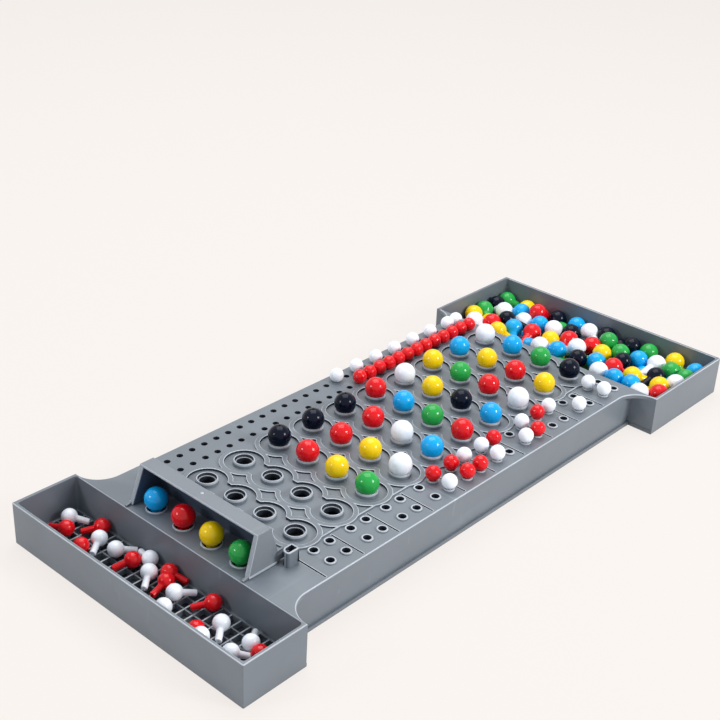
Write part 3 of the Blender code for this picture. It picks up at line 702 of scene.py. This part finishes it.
def trayCutter(near, far, floor):
    inner = board["halfTray"] - board["wall"]
    small, radius = trays["draft"] + trays["spread"], trays["corner"]
    right, front, back = inner - small - radius, near + small + radius, far - small - radius
    corners = ((right, front, 270), (right, back, 0), (-right, back, 90), (-right, front, 180))
    bm = bmesh.new()
    face = outlineFace(bm, [(x, y, radius, start, start + 90, 4) for x, y, start in corners], floor)
    end = raised(bm, face, (0, 0, trays["start"]))
    straight = board["top"] - floor - trays["start"] - climb(trays["foot"]) - climb(trays["rim"])
    pushCap(bm, end, (*trays["foot"], (-trays["draft"], straight), *trays["rim"], trays["over"]))
    return bm


def boardShell():
    half, length, top = board["halfTray"], board["halfLength"], board["top"]
    bm = bmesh.new()
    block(bm, (-half, -length, 0), (half, length, top), board["corner"],
          lambda edge: not isLevel(edge, edge.verts[0].co.z))
    for level, offset in ((top, board["topEdge"]), (0, board["footEdge"])):
        bevelled(bm, [edge for edge in bm.edges if isLevel(edge, level, 0.01)], offset)
    cutters = sideCutters() + [mirrored(cutter) for cutter in sideCutters()]
    end = length - board["wall"]
    cutters.append(trayCutter(-end, board["deckNear"], lattice["top"]))
    cutters.append(trayCutter(board["deckFar"], end, trays["floor"]))
    hollow = bmesh.new()
    inner = board["halfDeck"] - board["hollow"]
    near, far = board["deckNear"] + board["behind"], board["deckFar"] - board["behind"]
    verts = block(hollow, (-inner, near, board["under"]), (inner, far, board["underside"]))
    size = ((inner - board["hollowLean"]) / inner, board["hollowShare"], 1)
    centre = Matrix.Translation((0, -(near + far) / 2, 0))
    bmesh.ops.scale(hollow, vec=size, space=centre, verts=atHeight(verts, board["under"]))
    bm = carved(bm, cutters + [hollow])
    welded(bm, bm.verts, "drawing")
    bmesh.ops.dissolve_limit(bm, angle_limit=radians(board["flatAngle"]), verts=bm.verts, edges=bm.edges)
    facedOut(bm)
    # the rims' slanted faces at the top are painted pale as a highlight, but for those at the left
    for face in bm.faces:
        middle = face.calc_center_median()
        isRim = highlightedRims["least"] < face.normal.z < highlightedRims["most"] and middle.z > top - highlightedRims["depth"]
        if isRim and middle.x > highlightedRims["unpaintedLeft"] - half:
            face.material_index = paintedHighlight
    return bm


def degreesOf(opposite, radius):
    return degrees(asin(opposite / radius))


def halfTurn(column, neck, start, firstColumn):
    # the angles of one column's arc in a chain of circles, cut short where a neck joins the next circle
    lastColumn = holes["columns"] + 1 - firstColumn
    return (start if column == firstColumn else start + neck,
            start + 180 if column == lastColumn else start + 180 - neck)


def makeChannel(bm):
    # four round wells joined by straight necks, sunk from the band's top
    radius, steps = wells["radius"], wells["steps"]["well"]
    neck = degreesOf(wells["neck"], radius)
    stops, back = [], []
    for column in columns:
        x = codePlace(1, column)[0]
        first, last = halfTurn(column, neck, 180, 1)
        stops.append((x, 0, radius, first, last, steps))
        back.append((x, 0, radius, 360 - last, 360 - first, steps))
    cap = pushCap(bm, outlineFace(bm, stops + back[::-1]), wells["sides"])
    dropped(bm, [cap])


def fieldOutline():
    # the raised band round all the wells
    radius, steps = wells["base"], wells["steps"]
    near, far = codePlace(1, 1)[1], codePlace(holes["rows"], 1)[1]
    left, right = codePlace(1, 1)[0], codePlace(1, holes["columns"])[0]
    neck, side = degreesOf(wells["baseNeck"], radius), degreesOf(holes["rowPitch"] / 2, radius)
    bend = 90 - degreesOf(wells["edge"] - right, radius)
    stops = []
    for column in columns:
        stops.append((codePlace(1, column)[0], near, radius, *halfTurn(column, neck, 180, 1), steps["well"]))
    for row in rows:
        first = 0 if row == 1 else -bend
        last = 0 if row == holes["rows"] else bend
        stops.append((right, codePlace(row, 1)[1], radius, first, last, steps["side"]))
    for column in reversed(columns):
        angles = halfTurn(column, neck, 0, holes["columns"])
        stops.append((codePlace(1, column)[0], far, radius, *angles, steps["well"]))
    for row in reversed(rows):
        first = 180 if row == holes["rows"] else 180 - side
        last = 180 if row == 1 else 180 + side
        stops.append((left, codePlace(row, 1)[1], radius, first, last, steps["side"]))
    return stops


def makeDiamond(bm):
    # the hollow between four wells, two of its corners cut off by the necks' bands
    across, along, radius = holes["columnPitch"] / 2, holes["rowPitch"] / 2, wells["outer"]
    side, neck = degreesOf(along, radius), degreesOf(wells["outerNeck"], radius)
    stops = []
    for x, y, first, last in ((-across, -along, side, neck), (across, -along, 180 - neck, 180 - side),
                              (across, along, 180 + side, 180 + neck), (-across, along, -neck, -side)):
        stops.append((x, y, radius, first, last, wells["steps"]["diamond"]))
    pushCap(bm, outlineFace(bm, stops), wells["diamond"])


def makeTriangle(bm):
    # the hollow between two rows' ends and the straight lip along the key strip
    radius, half, steps = wells["outer"], holes["rowPitch"] / 2, wells["steps"]["triangle"]
    reach = wells["edge"] - wells["lip"] - codePlace(1, holes["columns"])[0]
    start, stop = 90 - degreesOf(reach, radius), degreesOf(half, radius)
    arcs = [(0, -half, radius, start, stop, steps), (0, half, radius, -stop, -start, steps)]
    pushCap(bm, outlineFace(bm, arcs), wells["diamond"])


def addWells(bm):
    top = board["top"]
    field = pushCap(bm, outlineFace(bm, fieldOutline(), top), wells["rise"])
    high = field.verts[0].co.z
    dropped(bm, [field])
    floor = high + climb(wells["sides"])
    channel, collar = pattern(makeChannel), pattern(makeCollar, "code", floor, top - floor)
    diamond, triangle = pattern(makeDiamond), pattern(makeTriangle)
    for row in rows:
        y = codePlace(row, 1)[1]
        stamped(bm, channel, Matrix.Translation((0, y, high)))
        for column in columns:
            stamped(bm, collar, Matrix.Translation((*codePlace(row, column), 0)))
        if row == holes["rows"]:
            break
        y += holes["rowPitch"] / 2
        for column in list(columns)[:-1]:
            x = codePlace(row, column)[0] + holes["columnPitch"] / 2
            stamped(bm, diamond, Matrix.Translation((x, y, high)))
        stamped(bm, triangle, Matrix.Translation((codePlace(row, holes["columns"])[0], y, high)))
    filled(bm, high)
    filled(bm, floor)


def makeCollar(bm, kind, level, sunk=0.0):
    # a raised ring round a hole that runs through the deck, its foot sunk below the deck's top or not
    collar = collars[kind]
    cap = circleFace(bm, collar["radius"], collar["steps"], level)
    (inward, along, paint), *others = collar["sides"]
    pushCap(bm, cap, ((inward, along + sunk, paint), *others))
    # the hole's tube down to the underside is painted shade
    pushCap(bm, cap, ((0.0, board["underside"] - cap.verts[0].co.z, paintedShade),))
    dropped(bm, [cap])


grooves = {
    "left": 33.5, "right": 50.1, "half": 0.52, "shift": -0.65,
    # a painted highlight round the groove's edge and painted shade down its walls
    "sides": ((0.2, -0.08, paintedHighlight), (0.04, -0.5, paintedShade)),
    "askew": 0.04,  # the far corners stand in, so that no three corners of two grooves are in line
}


def addGrooves(bm):
    left, right, askew = grooves["left"], grooves["right"], grooves["askew"]
    for row in rows:
        middle = codePlace(row, 1)[1] - holes["rowPitch"] / 2 + grooves["shift"]
        near, far = middle - grooves["half"], middle + grooves["half"]
        stops = [(left, near), (right, near), (right - askew, far), (left + askew, far)]
        # the groove's floor is painted shade
        painted([pushCap(bm, outlineFace(bm, stops, board["top"]), grooves["sides"])], paintedShade)


def addLattice(bm):
    # cross ribs on the near tray's floor, with deep cells between them whose floors are painted shade
    margin, level = lattice["margin"], lattice["top"]
    inner = board["halfTray"] - board["wall"] - margin
    near, far = -board["halfLength"] + board["wall"] + margin, board["deckNear"] - margin
    size = Matrix.Diagonal((inner, (far - near) / 2, 1, 1))
    place = Matrix.Translation((0, (near + far) / 2, level))
    across, along = lattice["cells"]
    made = bmesh.ops.create_grid(bm, x_segments=across, y_segments=along, size=1, matrix=place @ size)
    cells = facesOf(made["verts"])
    bm.normal_update()
    made = bmesh.ops.inset_individual(bm, faces=cells, thickness=lattice["rib"] / 2, use_even_offset=True)
    for rib in made["faces"]:  # ribs that run from front to back are painted pale as a highlight
        places = [[vert.co[axis] for vert in rib.verts] for axis in (0, 1)]
        wide, deep = (max(values) - min(values) for values in places)
        rib.material_index = paintedHighlight if deep > wide else plain
    bmesh.ops.inset_individual(bm, faces=cells, thickness=lattice["draft"], depth=-lattice["depth"],
                               use_even_offset=True)
    # the cells are painted shade
    painted(cells, paintedShade)
    filled(bm, level)


lug = {
    "inner": 33.4, "width": 4.1, "near": -108.3, "far": -102.6, "top": 24.6, "floor": 19.4, "plate": 1.9,
    "hingeY": -105.35, "hingeZ": 21.3, "bore": 1.5, "boreDepth": 2.4, "boreIn": 0.4, "sunk": 0.3,
    # radii and steps of the upright edges, from the near inner one round to the far inner one
    "corners": ((2.6, 8), (1.2, 5), (0.3, 2), (0.3, 2)),
    # bands over the rim, painted as a highlight, and down into the pocket, painted shade
    "rim": ((0.08, 0.2, paintedHighlight), (0.2, 0.1, paintedHighlight), (0.35, 0.0, paintedHighlight), (0.1, -0.1, paintedHighlight)), "pocketDraft": 0.12,
    # the slot: how far it starts above the deck, ends below the top and runs past the hinge
    "slotLow": 0.2, "slotHigh": 0.5, "slotPast": 1, "slotFront": 1, "slotIn": 0.5,
    # where the faces painted in shade and those painted as a highlight lie
    "middleZ": 21, "rimDepth": 0.6, "paleFrom": -0.15, "paleTo": 0.85,
}


def lugPost():
    inner, outer, near, far = lug["inner"], lug["inner"] + lug["width"], lug["near"], lug["far"]
    low, top, plate = board["top"], lug["top"], outer - lug["plate"]
    stops = []
    turns = ((inner, near, 1, 1, 180), (outer, near, -1, 1, 270),
             (outer, far, -1, -1, 0), (inner, far, 1, -1, 90))
    for (x, y, inX, inY, start), (radius, steps) in zip(turns, lug["corners"]):
        stops.append((x + inX * radius, y + inY * radius, radius, start, start + 90, steps))
    post, bore, slot = bmesh.new(), bmesh.new(), bmesh.new()
    end = raised(post, outlineFace(post, stops, low - lug["sunk"]), (0, 0, top - low))
    pushCap(post, end, (*lug["rim"], (lug["pocketDraft"], lug["floor"] - top, paintedShade)))
    rod(bore, (inner + lug["boreIn"], lug["hingeY"], lug["hingeZ"]), lug["bore"], lug["boreDepth"], 20)
    block(slot, (inner - lug["slotIn"], near - lug["slotFront"], low + lug["slotLow"]),
          (plate, lug["hingeY"] + lug["slotPast"], top - lug["slotHigh"]))
    post = carved(post, [bore, slot])
    facedOut(post)
    centre = Vector(((inner + outer) / 2, (near + far) / 2, lug["middleZ"]))
    for face in post.faces:  # the pocket is painted shade, and the plate's edge beside the slot painted as a highlight
        middle = face.calc_center_median()
        if face.normal.dot(middle - centre) < 0 and middle.z < top - lug["rimDepth"]:
            face.material_index = paintedShade
        elif face.normal.y < -0.5 and lug["paleFrom"] < middle.x - plate < lug["paleTo"]:
            face.material_index = paintedHighlight
    return post


def addLugs(bm):
    # the two posts that carry the shield's pins, each with an open pocket and a slot for the pin to snap in
    added(bm, mirrored(lugPost()))
    added(bm, lugPost())


ribs = {
    "rows": (1, 4, 7), "left": -34.3, "right": 49.5, "low": 10.5, "half": 0.6, "sunk": 0.3, "rounding": 0.2,
}


def makeBoard():
    bm = boardShell()
    top, under = board["top"], board["underside"]
    inner = board["halfDeck"] - board["skirtWall"]
    dropped(bm, [face for face in bm.faces if isLevel(face, top)])
    dropped(bm, [face for face in bm.faces
                 if isLevel(face, under) and all(abs(vert.co.x) < inner for vert in face.verts)])
    dropped(bm, [face for face in bm.faces if isLevel(face, lattice["top"])])
    addWells(bm)
    spots = {
        "secret": [codePlace(0, column) for column in columns],
        "key": [keyPlace(row, corner) for row in rows for corner in keyCorners],
        "score": [scorePlace(line, number) for line in (0, 1) for number in range(holes["scores"])],
    }
    for kind, places in spots.items():
        collar = pattern(makeCollar, kind, top)
        for place in places:
            stamped(bm, collar, Matrix.Translation((*place, 0)))
    addGrooves(bm)
    filled(bm, top)
    filled(bm, under)
    addLattice(bm)
    for row in ribs["rows"]:  # they stiffen the deck from below
        y = codePlace(row, 1)[1] + holes["rowPitch"] / 2
        block(bm, (ribs["left"], y - ribs["half"], ribs["low"]),
              (ribs["right"], y + ribs["half"], under + ribs["sunk"]), ribs["rounding"])
    addLugs(bm)
    # the board's own grey, the lattice grey as painted shade and the edge grey as a painted highlight
    finished(bm, "boardMoulding", "board",
             [greyPlastic[name] for name in ("board", "lattice", "edge")], ["base_board"], crease=32)


makeBoard()


# hinged shield
shield = {
    "low": 18.6, "high": 34.3, "front": -122.75, "back": -106.85, "topFront": -117.65, "topBack": -111.15,
    "half": 32.6, "topHalf": 31.9, "wall": 1.2, "edge": 0.34,
    # the end walls are thicker; what lies deeper than the skin is their inner side
    "thicker": 1.0, "skin": 0.25,
    "middleZ": 25, "sharp": 20, "frontSlope": -0.25,
    "ear": {"radius": 2.1, "inset": 0.15, "rise": 0.7, "rim": (0.12, 0.05)},
    "pin": {"x": 33.6, "radius": 1.2, "length": 3.7},
    # bar along the bottom of the end wall, and the pointed toe in front of it
    "bar": {"inset": 0.3, "out": 0.28, "front": 0.2, "back": -109.0, "height": 0.85, "rounding": 0.15},
    "toe": {"inner": 1.05, "outer": 0.15, "front": 2.2, "back": 1.2, "height": 1.1, "droop": 0.75},
    "nub": {"x": -0.9, "y": -114.2, "steps": 16,
            "profile": ((0, -0.2), (0.75, -0.2), (0.72, 0.12), (0.5, 0.3), (0, 0.34))},
}


def shieldSheet():
    # a box open in front and below, its corners moved to the shield's and its sheet given a thickness
    sheet = bmesh.new()
    bmesh.ops.create_cube(sheet, size=2)
    dropped(sheet, [face for face in sheet.faces if face.normal.z < -0.5 or face.normal.y < -0.5])
    for vert in sheet.verts:
        x, y, z = vert.co
        across, front, back = ("topHalf", "topFront", "topBack") if z > 0 else ("half", "front", "back")
        vert.co = (x * shield[across], shield[front if y < 0 else back], shield["high" if z > 0 else "low"])
    walls = loose(sheet)
    modifier = walls.modifiers.new("wall", "SOLIDIFY")
    modifier.thickness, modifier.offset, modifier.use_even_offset = shield["wall"], -1, True
    bm = applied(walls)
    for vert in bm.verts:
        if abs(vert.co.x) < shield["topHalf"] - shield["skin"]:
            vert.co.x -= shield["thicker"] if vert.co.x > 0 else -shield["thicker"]
    facedOut(bm)
    return bm


def addEar(bm, side):
    # a round plate behind the end wall, with a foot that runs back into it, and the pin through it
    ear, pin, hingeY, hingeZ = shield["ear"], shield["pin"], lug["hingeY"], lug["hingeZ"]
    outer = side * (shield["half"] - ear["inset"])
    inner = side * (shield["half"] - shield["wall"] + ear["inset"])
    stops = [(shield["topBack"], shield["low"] + ear["rise"]), (hingeY, hingeZ, ear["radius"], -90, 90, 12),
             (shield["topBack"], hingeZ + ear["radius"])]
    end = raised(bm, outlineFace(bm, stops, inner, "side"), (outer - inner, 0, 0))
    pushCap(bm, end, (ear["rim"],))
    # the pin is painted shade
    painted(facesOf(rod(bm, (side * pin["x"], hingeY, hingeZ), pin["radius"], pin["length"], 24)), paintedShade)


def addToe(bm, side):
    bar, toe, front, low = shield["bar"], shield["toe"], shield["front"], shield["low"]
    left, right = sorted((side * (shield["half"] - bar["inset"]), side * (shield["half"] + bar["out"])))
    part = bmesh.new()
    block(part, (left, front + bar["front"], low), (right, bar["back"], low + bar["height"]), bar["rounding"])
    # the bar is painted pale as a highlight
    painted(part.faces, paintedHighlight)
    added(bm, part)
    left, right = sorted((side * (shield["half"] - toe["inner"]), side * (shield["half"] - toe["outer"])))
    verts = block(bm, (left, front - toe["front"], low), (right, front + toe["back"], low + toe["height"]))
    tip = [vert for vert in atHeight(verts, low + toe["height"]) if vert.co.y < front]
    bmesh.ops.translate(bm, verts=tip, vec=(0, 0, -toe["droop"]))


def makeShield():
    bm = shieldSheet()
    centre = Vector((0, (shield["front"] + shield["back"]) / 2, shield["middleZ"]))
    for face in bm.faces:  # the inside is painted deep shade
        if face.normal.dot(face.calc_center_median() - centre) < 0:
            face.material_index = paintedShade
    sharp = radians(shield["sharp"])
    bevelled(bm, [edge for edge in bm.edges if edge.calc_face_angle(0) > sharp], shield["edge"], 3)
    bm.normal_update()
    for face in bm.faces:  # the front rim is painted pale as a highlight
        if face.normal.y < shield["frontSlope"] and face.normal.dot(face.calc_center_median() - centre) > 0:
            face.material_index = paintedHighlight
    for side in (-1, 1):
        addEar(bm, side)
        addToe(bm, side)
    nub = shield["nub"]
    place = Matrix.Translation((nub["x"], nub["y"], shield["high"]))
    # the nub is painted pale as a highlight
    painted(facesOf(turned(bm, nub["profile"], nub["steps"], place)), paintedHighlight)
    # the shield's own grey, the shade grey as painted shade and the edge grey as a painted highlight
    finished(bm, "shieldMoulding", "shield",
             [greyPlastic[name] for name in ("shield", "shade", "edge")], ["code_shield"], crease=40)


makeShield()


# pegs
secretPeg = {"head": 4.55, "stem": 2.35, "tip": 1.9, "length": 8.0, "headZ": 22.75, "steps": 40, "arc": 14}
codePeg = {"head": 4.75, "stem": 2.35, "tip": 1.9, "length": 8.0, "headZ": 22.75, "steps": 40, "arc": 14}
heapPeg = {"head": 4.6, "stem": 2.35, "tip": 1.95, "length": 8.4, "steps": 24, "arc": 10}
keyPeg = {"head": 3.2, "stem": 1.15, "tip": 1.0, "length": 5.6, "headZ": 21.95, "steps": 32, "arc": 14}
trayPeg = {"head": 3.25, "stem": 1.3, "tip": 1.25, "length": 5.1, "steps": 24, "arc": 10}
scoreHeadZ = 21.3
# the hollowed tip, as shares of its radius: how far out and how far up
tipShares = ((0, 0.35), (0.45, 0.35), (0.52, 0), (0.82, 0), (0.97, 0.08), (1, 0.22))
fillet = {"out": 0.18, "down": 0.22}
# stub that the moulding's feed left on the heads of the black pegs that stand left of this place
sprue = {"foot": 0.5, "tip": 0.46, "rise": 0.28, "left": -20}


def pegProfile(peg, hasSprue):
    # ball head on a tapered stem, from the hollowed tip up, with the head's centre at 0
    head, stem, tip = peg["head"], peg["stem"], peg["tip"]
    neck = -sqrt(head * head - stem * stem)
    end = neck - peg["length"]
    under = -degrees(acos((stem + fillet["out"]) / head))
    stops = [(tip * out, end + tip * up) for out, up in tipShares] + [(stem, neck - fillet["down"])]
    if hasSprue:
        top, high = degrees(acos(sprue["foot"] / head)), head + sprue["rise"]
        return stops + [(0, 0, head, under, top, peg["arc"]), (sprue["tip"], high), (0, high)]
    return stops + [(0, 0, head, under, 90, peg["arc"])]


def makePeg(bm, peg, hasSprue=False):
    turned(bm, pegProfile(peg, hasSprue), peg["steps"])


def finishedPegs(bm, name, body, colour, nodes=()):
    finished(bm, name, body, [pegPlastic[colour]], nodes, crease=50, weighted=False)


def makeStandingPegs():
    shapes = {"code": pattern(makePeg, codePeg), "sprue": pattern(makePeg, codePeg, True),
              "key": pattern(makePeg, keyPeg), "secret": pattern(makePeg, secretPeg)}
    for node, obj in frame["nodes"].items():
        words = node.split("_")
        if words[0] not in ("code", "secret", "key") or words[1] != "peg":
            continue
        colour = words[-1]
        if words[0] == "key":
            place = keyPlace(int(words[2][1:]), "_".join(words[3:5]))
            peg, name = keyPeg, "keyPeg" + words[2][1:] + words[3].title() + words[4].title()
        else:
            row = int(words[2][1:]) if words[0] == "code" else 0
            column = int(words[3 if row else 2][1:])
            place, peg = codePlace(row, column), codePeg if row else secretPeg
            name = ("codePeg" + words[2][1:] if row else "secretPeg") + "Column" + str(column)
        shape = words[0]
        if colour == "black" and place[0] < sprue["left"]:
            shape = "sprue"
        bm = bmesh.new()
        stamped(bm, shapes[shape], Matrix.Translation((*place, peg["headZ"])))
        finishedPegs(bm, name, obj["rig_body"], colour, [node])


scorePegs = {"redHoles": range(16, 29), "whiteHoles": (15, 17, 19, 21, 23, 25, 27, 28)}


def makeScorePegs():
    shape = pattern(makePeg, keyPeg)
    for colour, line, numbers in (("red", 1, scorePegs["redHoles"]), ("white", 0, scorePegs["whiteHoles"])):
        bm = bmesh.new()
        for number in numbers:
            stamped(bm, shape, Matrix.Translation((*scorePlace(line, number), scoreHeadZ)))
        red = colour == "red"
        body = frame["nodes"]["score_pegs_red"]["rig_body"] if red else "board"
        finishedPegs(bm, "scorePegs" + colour.title(), body, colour, ["score_pegs_red"] if red else ())


makeStandingPegs()
makeScorePegs()
print("standing pegs made")


# loose key pegs in the near tray
looseKeys = {
    "headZ": 6.3, "tipZ": 4.15, "clear": 0.4,
    # run and drop of a stem's slope, and the way of the stems that are hidden
    "run": 8.6, "drop": 1.75, "hiddenWay": (0.3, -1, 0),
    # colour, pixel of the head, pixel of the stem's tip (None where it is hidden)
    "pegs": [
        ("white", (69.4, 516.3), (88.8, 523.0)), ("red", (66.3, 528.0), (53.0, 528.0)),
        ("red", (103.1, 525.9), (81.6, 533.0)), ("white", (99.4, 538.2), (92.9, 554.5)),
        ("red", (81.0, 545.3), None), ("white", (115.7, 549.0), (135.7, 551.4)),
        ("red", (132.7, 559.6), (112.2, 569.8)), ("white", (150.0, 558.6), (140.8, 552.4)),
        ("white", (149.0, 571.8), (143.9, 590.2)), ("red", (169.4, 571.8), (186.7, 583.1)),
        ("red", (166.3, 581.0), (150.0, 598.4)), ("white", (174.5, 592.2), (194.9, 594.3)),
        ("white", (163.3, 606.5), None), ("red", (213.3, 602.4), (192.9, 608.6)),
        ("white", (221.4, 622.9), (218.4, 642.2)), ("red", (195.9, 629.0), None),
        ("white", (200.5, 635.5), None), ("white", (251.0, 642.7), (256.1, 631.0)),
        ("white", (230.6, 652.4), (252.0, 658.6)), ("red", (260.0, 653.4), None),
    ],
}


def lyingPeg(bm, shape, head, direction):
    # a peg with its head's centre here and its stem pointing along the direction
    turn = Vector((0, 0, -1)).rotation_difference(direction.normalized()).to_matrix().to_4x4()
    stamped(bm, shape, Matrix.Translation(head) @ turn)


def makeLooseKeys():
    shape = pattern(makePeg, trayPeg)
    clear = trayPeg["head"] + looseKeys["clear"]
    inner = board["halfTray"] - board["wall"] - clear
    near, far = -board["halfLength"] + board["wall"] + clear, board["deckNear"] - clear
    shapes = {"red": bmesh.new(), "white": bmesh.new()}
    for colour, headPixel, tipPixel in looseKeys["pegs"]:
        head = onPlane(headPixel, looseKeys["headZ"])
        head.x = max(-inner, min(inner, head.x))
        head.y = max(near, min(far, head.y))
        along = Vector(looseKeys["hiddenWay"])
        if tipPixel:
            tip = onPlane(tipPixel, looseKeys["tipZ"])
            along = Vector((tip.x - head.x, tip.y - head.y, 0))
        along = along.normalized() * looseKeys["run"] - Vector((0, 0, looseKeys["drop"]))
        lyingPeg(shapes[colour], shape, head, along)
    nodes = ["loose_key_pegs_left", "loose_key_pegs_middle", "loose_key_pegs_right"]
    for colour, bm in shapes.items():
        finishedPegs(bm, "looseKeyPegs" + colour.title(), "board", colour, nodes if colour == "white" else ())


makeLooseKeys()


# heap of loose code pegs in the far tray
heap = {
    # pixels of the heads on top of the heap, by colour
    "heads": {
        "green": ((507.3, 299.1), (482.6, 309.5), (612.5, 341.2), (620.4, 353.0), (646.8, 352.1),
                  (672.3, 372.0), (684.1, 378.2)),
        "black": ((497.5, 302.4), (508.7, 320.7), (562.9, 316.5), (572.4, 330.5), (604.1, 333.3),
                  (620.9, 337.5), (630.8, 346.8), (577.5, 358.6), (626.6, 361.4), (656.0, 376.8)),
        "white": ((508.7, 310.9), (479.2, 319.3), (527.5, 320.7), (557.3, 328.3), (539.6, 345.9),
                  (588.1, 333.3), (578.9, 347.3), (598.5, 371.2), (655.5, 364.2), (675.7, 383.8),
                  (643.4, 391.7)),
        "blue": ((521.3, 310.9), (513.5, 327.7), (543.8, 324.9), (557.3, 350.1), (578.0, 325.5),
                 (596.5, 361.9), (635.0, 360.5), (614.8, 378.2), (632.2, 385.2), (695.3, 372.6)),
        "yellow": ((471.4, 313.1), (497.5, 330.5), (534.5, 306.1), (550.2, 339.8), (601.9, 353.5),
                   (632.2, 376.0), (674.8, 361.9), (659.7, 388.6)),
        "red": ((493.3, 321.2), (550.8, 309.5), (539.6, 315.1), (532.0, 332.5), (569.0, 339.8),
                (594.3, 345.1), (613.4, 367.0), (660.2, 394.5)),
    },
    # stems that show: pixel of the head and of the tip
    "stems": {(508.7, 310.9): (493, 307), (507.3, 299.1): (521, 304), (471.4, 313.1): (483, 322),
              (482.6, 309.5): (486, 316), (532.0, 332.5): (524, 340), (632.2, 376.0): (644, 380),
              (675.7, 383.8): (670, 387), (577.5, 358.6): (586.4, 347.5), (550.8, 309.5): (557, 311),
              (626.6, 361.4): (620, 354.6), (655.5, 364.2): (643.6, 374.3), (656.0, 376.8): (645, 385)},
    # the heap's top at its low and high corners, and the space that the heads keep to
    "low": 8.6, "high": 13.6, "acrossShare": 0.55, "guessZ": 11, "apart": 8.95, "rounds": 60,
    "halfX": 57.2, "near": 101.25, "far": 147.45, "least": 7.0, "most": 15.2,
    # pegs that fill the gaps below
    "fillers": 24, "fillerZ": (6.6, 6.9), "fillerApart": 8.4, "tries": 2500, "seed": 11,
    "fillerColours": ("yellow", "white", "red", "blue", "green", "black"),
}
stems = {
    "length": 12.3, "checked": (5.5, 8.0, 10.5, 12.3), "tries": 90, "drop": (-0.85, 0.1),
    "halfX": 59.5, "near": 99, "far": 149.6, "low": 4.3, "high": 13, "risePenalty": 6, "freeRise": -0.15,
    "fallback": (0.3, 0.2, -0.9),
    # those that show: how far the tip lies below the head, and the shares of their direction
    "shownDrop": 1.5, "shownNear": 98.8, "levelShare": 0.96, "flatShare": 0.94, "dropShare": -0.245,
}


def heapHeight(x, y):
    across = (x + heap["halfX"]) / (2 * heap["halfX"])
    along = (y - heap["near"]) / (heap["far"] - heap["near"])
    share = heap["acrossShare"] * across + (1 - heap["acrossShare"]) * (1 - along)
    return heap["low"] + (heap["high"] - heap["low"]) * max(0, min(1, share))


def inTray(point):
    point.x = max(-heap["halfX"], min(heap["halfX"], point.x))
    point.y = max(heap["near"], min(heap["far"], point.y))


def heapHeads():
    found = []
    for colour, pixels in heap["heads"].items():
        for pixel in pixels:
            point = onPlane(pixel, heap["guessZ"])
            for _ in range(4):
                point = onPlane(pixel, heapHeight(point.x, point.y))
            inTray(point)
            found.append([colour, point, pixel])
    for _ in range(heap["rounds"]):  # heads that overlap push each other apart
        for index, (_, first, _) in enumerate(found):
            for _, second, _ in found[index + 1:]:
                apart = first - second
                short = heap["apart"] - apart.length
                if short > 0:
                    push = apart.normalized() * short / 2
                    first += push
                    second -= push
        for _, point, _ in found:
            inTray(point)
            point.z = max(heap["least"], min(heap["most"], point.z))
    return found


def addFillers(found):
    random.seed(heap["seed"])
    wanted, colours = len(found) + heap["fillers"], heap["fillerColours"]
    for _ in range(heap["tries"]):
        if len(found) >= wanted:
            break
        point = Vector((random.uniform(-heap["halfX"], heap["halfX"]),
                        random.uniform(heap["near"], heap["far"]),
                        random.uniform(*heap["fillerZ"])))
        if all((point - other).length > heap["fillerApart"] for _, other, _ in found):
            found.append([colours[len(found) % len(colours)], point, None])


def shownStem(head, tip):
    # the direction of a stem that shows, level but for a little drop
    length, level = stems["length"], stems["levelShare"]
    target = onPlane(tip, head.z - stems["shownDrop"])
    way = Vector((target.x - head.x, target.y - head.y, 0)).normalized() * level
    way.y = max((stems["shownNear"] - head.y) / length, min((stems["far"] - head.y) / length, way.y))
    way.x = (1 if way.x > 0 else -1) * sqrt(stems["flatShare"] - way.y * way.y)
    way.z = stems["dropShare"]
    return way


def stemDirection(index, found):
    # the direction in which the stem stays in the tray and touches the other pegs least
    _, head, pixel = found[index]
    if pixel in heap["stems"]:
        return shownStem(head, heap["stems"][pixel])
    best, score = None, -1e9
    for _ in range(stems["tries"]):
        turn, drop = random.uniform(0, 2 * pi), random.uniform(*stems["drop"])
        flat = sqrt(1 - drop * drop)
        way = Vector((cos(turn) * flat, sin(turn) * flat, drop))
        end = head + way * stems["length"]
        isInside = abs(end.x) <= stems["halfX"] and stems["near"] < end.y < stems["far"]
        if not isInside or not stems["low"] <= end.z <= stems["high"]:
            continue
        others = [item[1] for item in found[:index] + found[index + 1:]]
        spots = [head + way * step for step in stems["checked"]]
        clear = min((spot - other).length for spot in spots for other in others)
        value = clear - max(0, way.z - stems["freeRise"]) * stems["risePenalty"]
        if value > score:
            best, score = way, value
    return best or Vector(stems["fallback"])


def makeHeap():
    found = heapHeads()
    addFillers(found)
    shape = pattern(makePeg, heapPeg)
    shapes = {colour: bmesh.new() for colour in pegColours}
    for index, (colour, head, _) in enumerate(found):
        lyingPeg(shapes[colour], shape, head, stemDirection(index, found))
    for colour, bm in shapes.items():
        finishedPegs(bm, "loosePegs" + colour.title(), "board", colour, ["loose_code_pegs"])
    print(len(found), "loose code pegs laid")


makeHeap()


# finish
scene.view_settings.view_transform = "Standard"
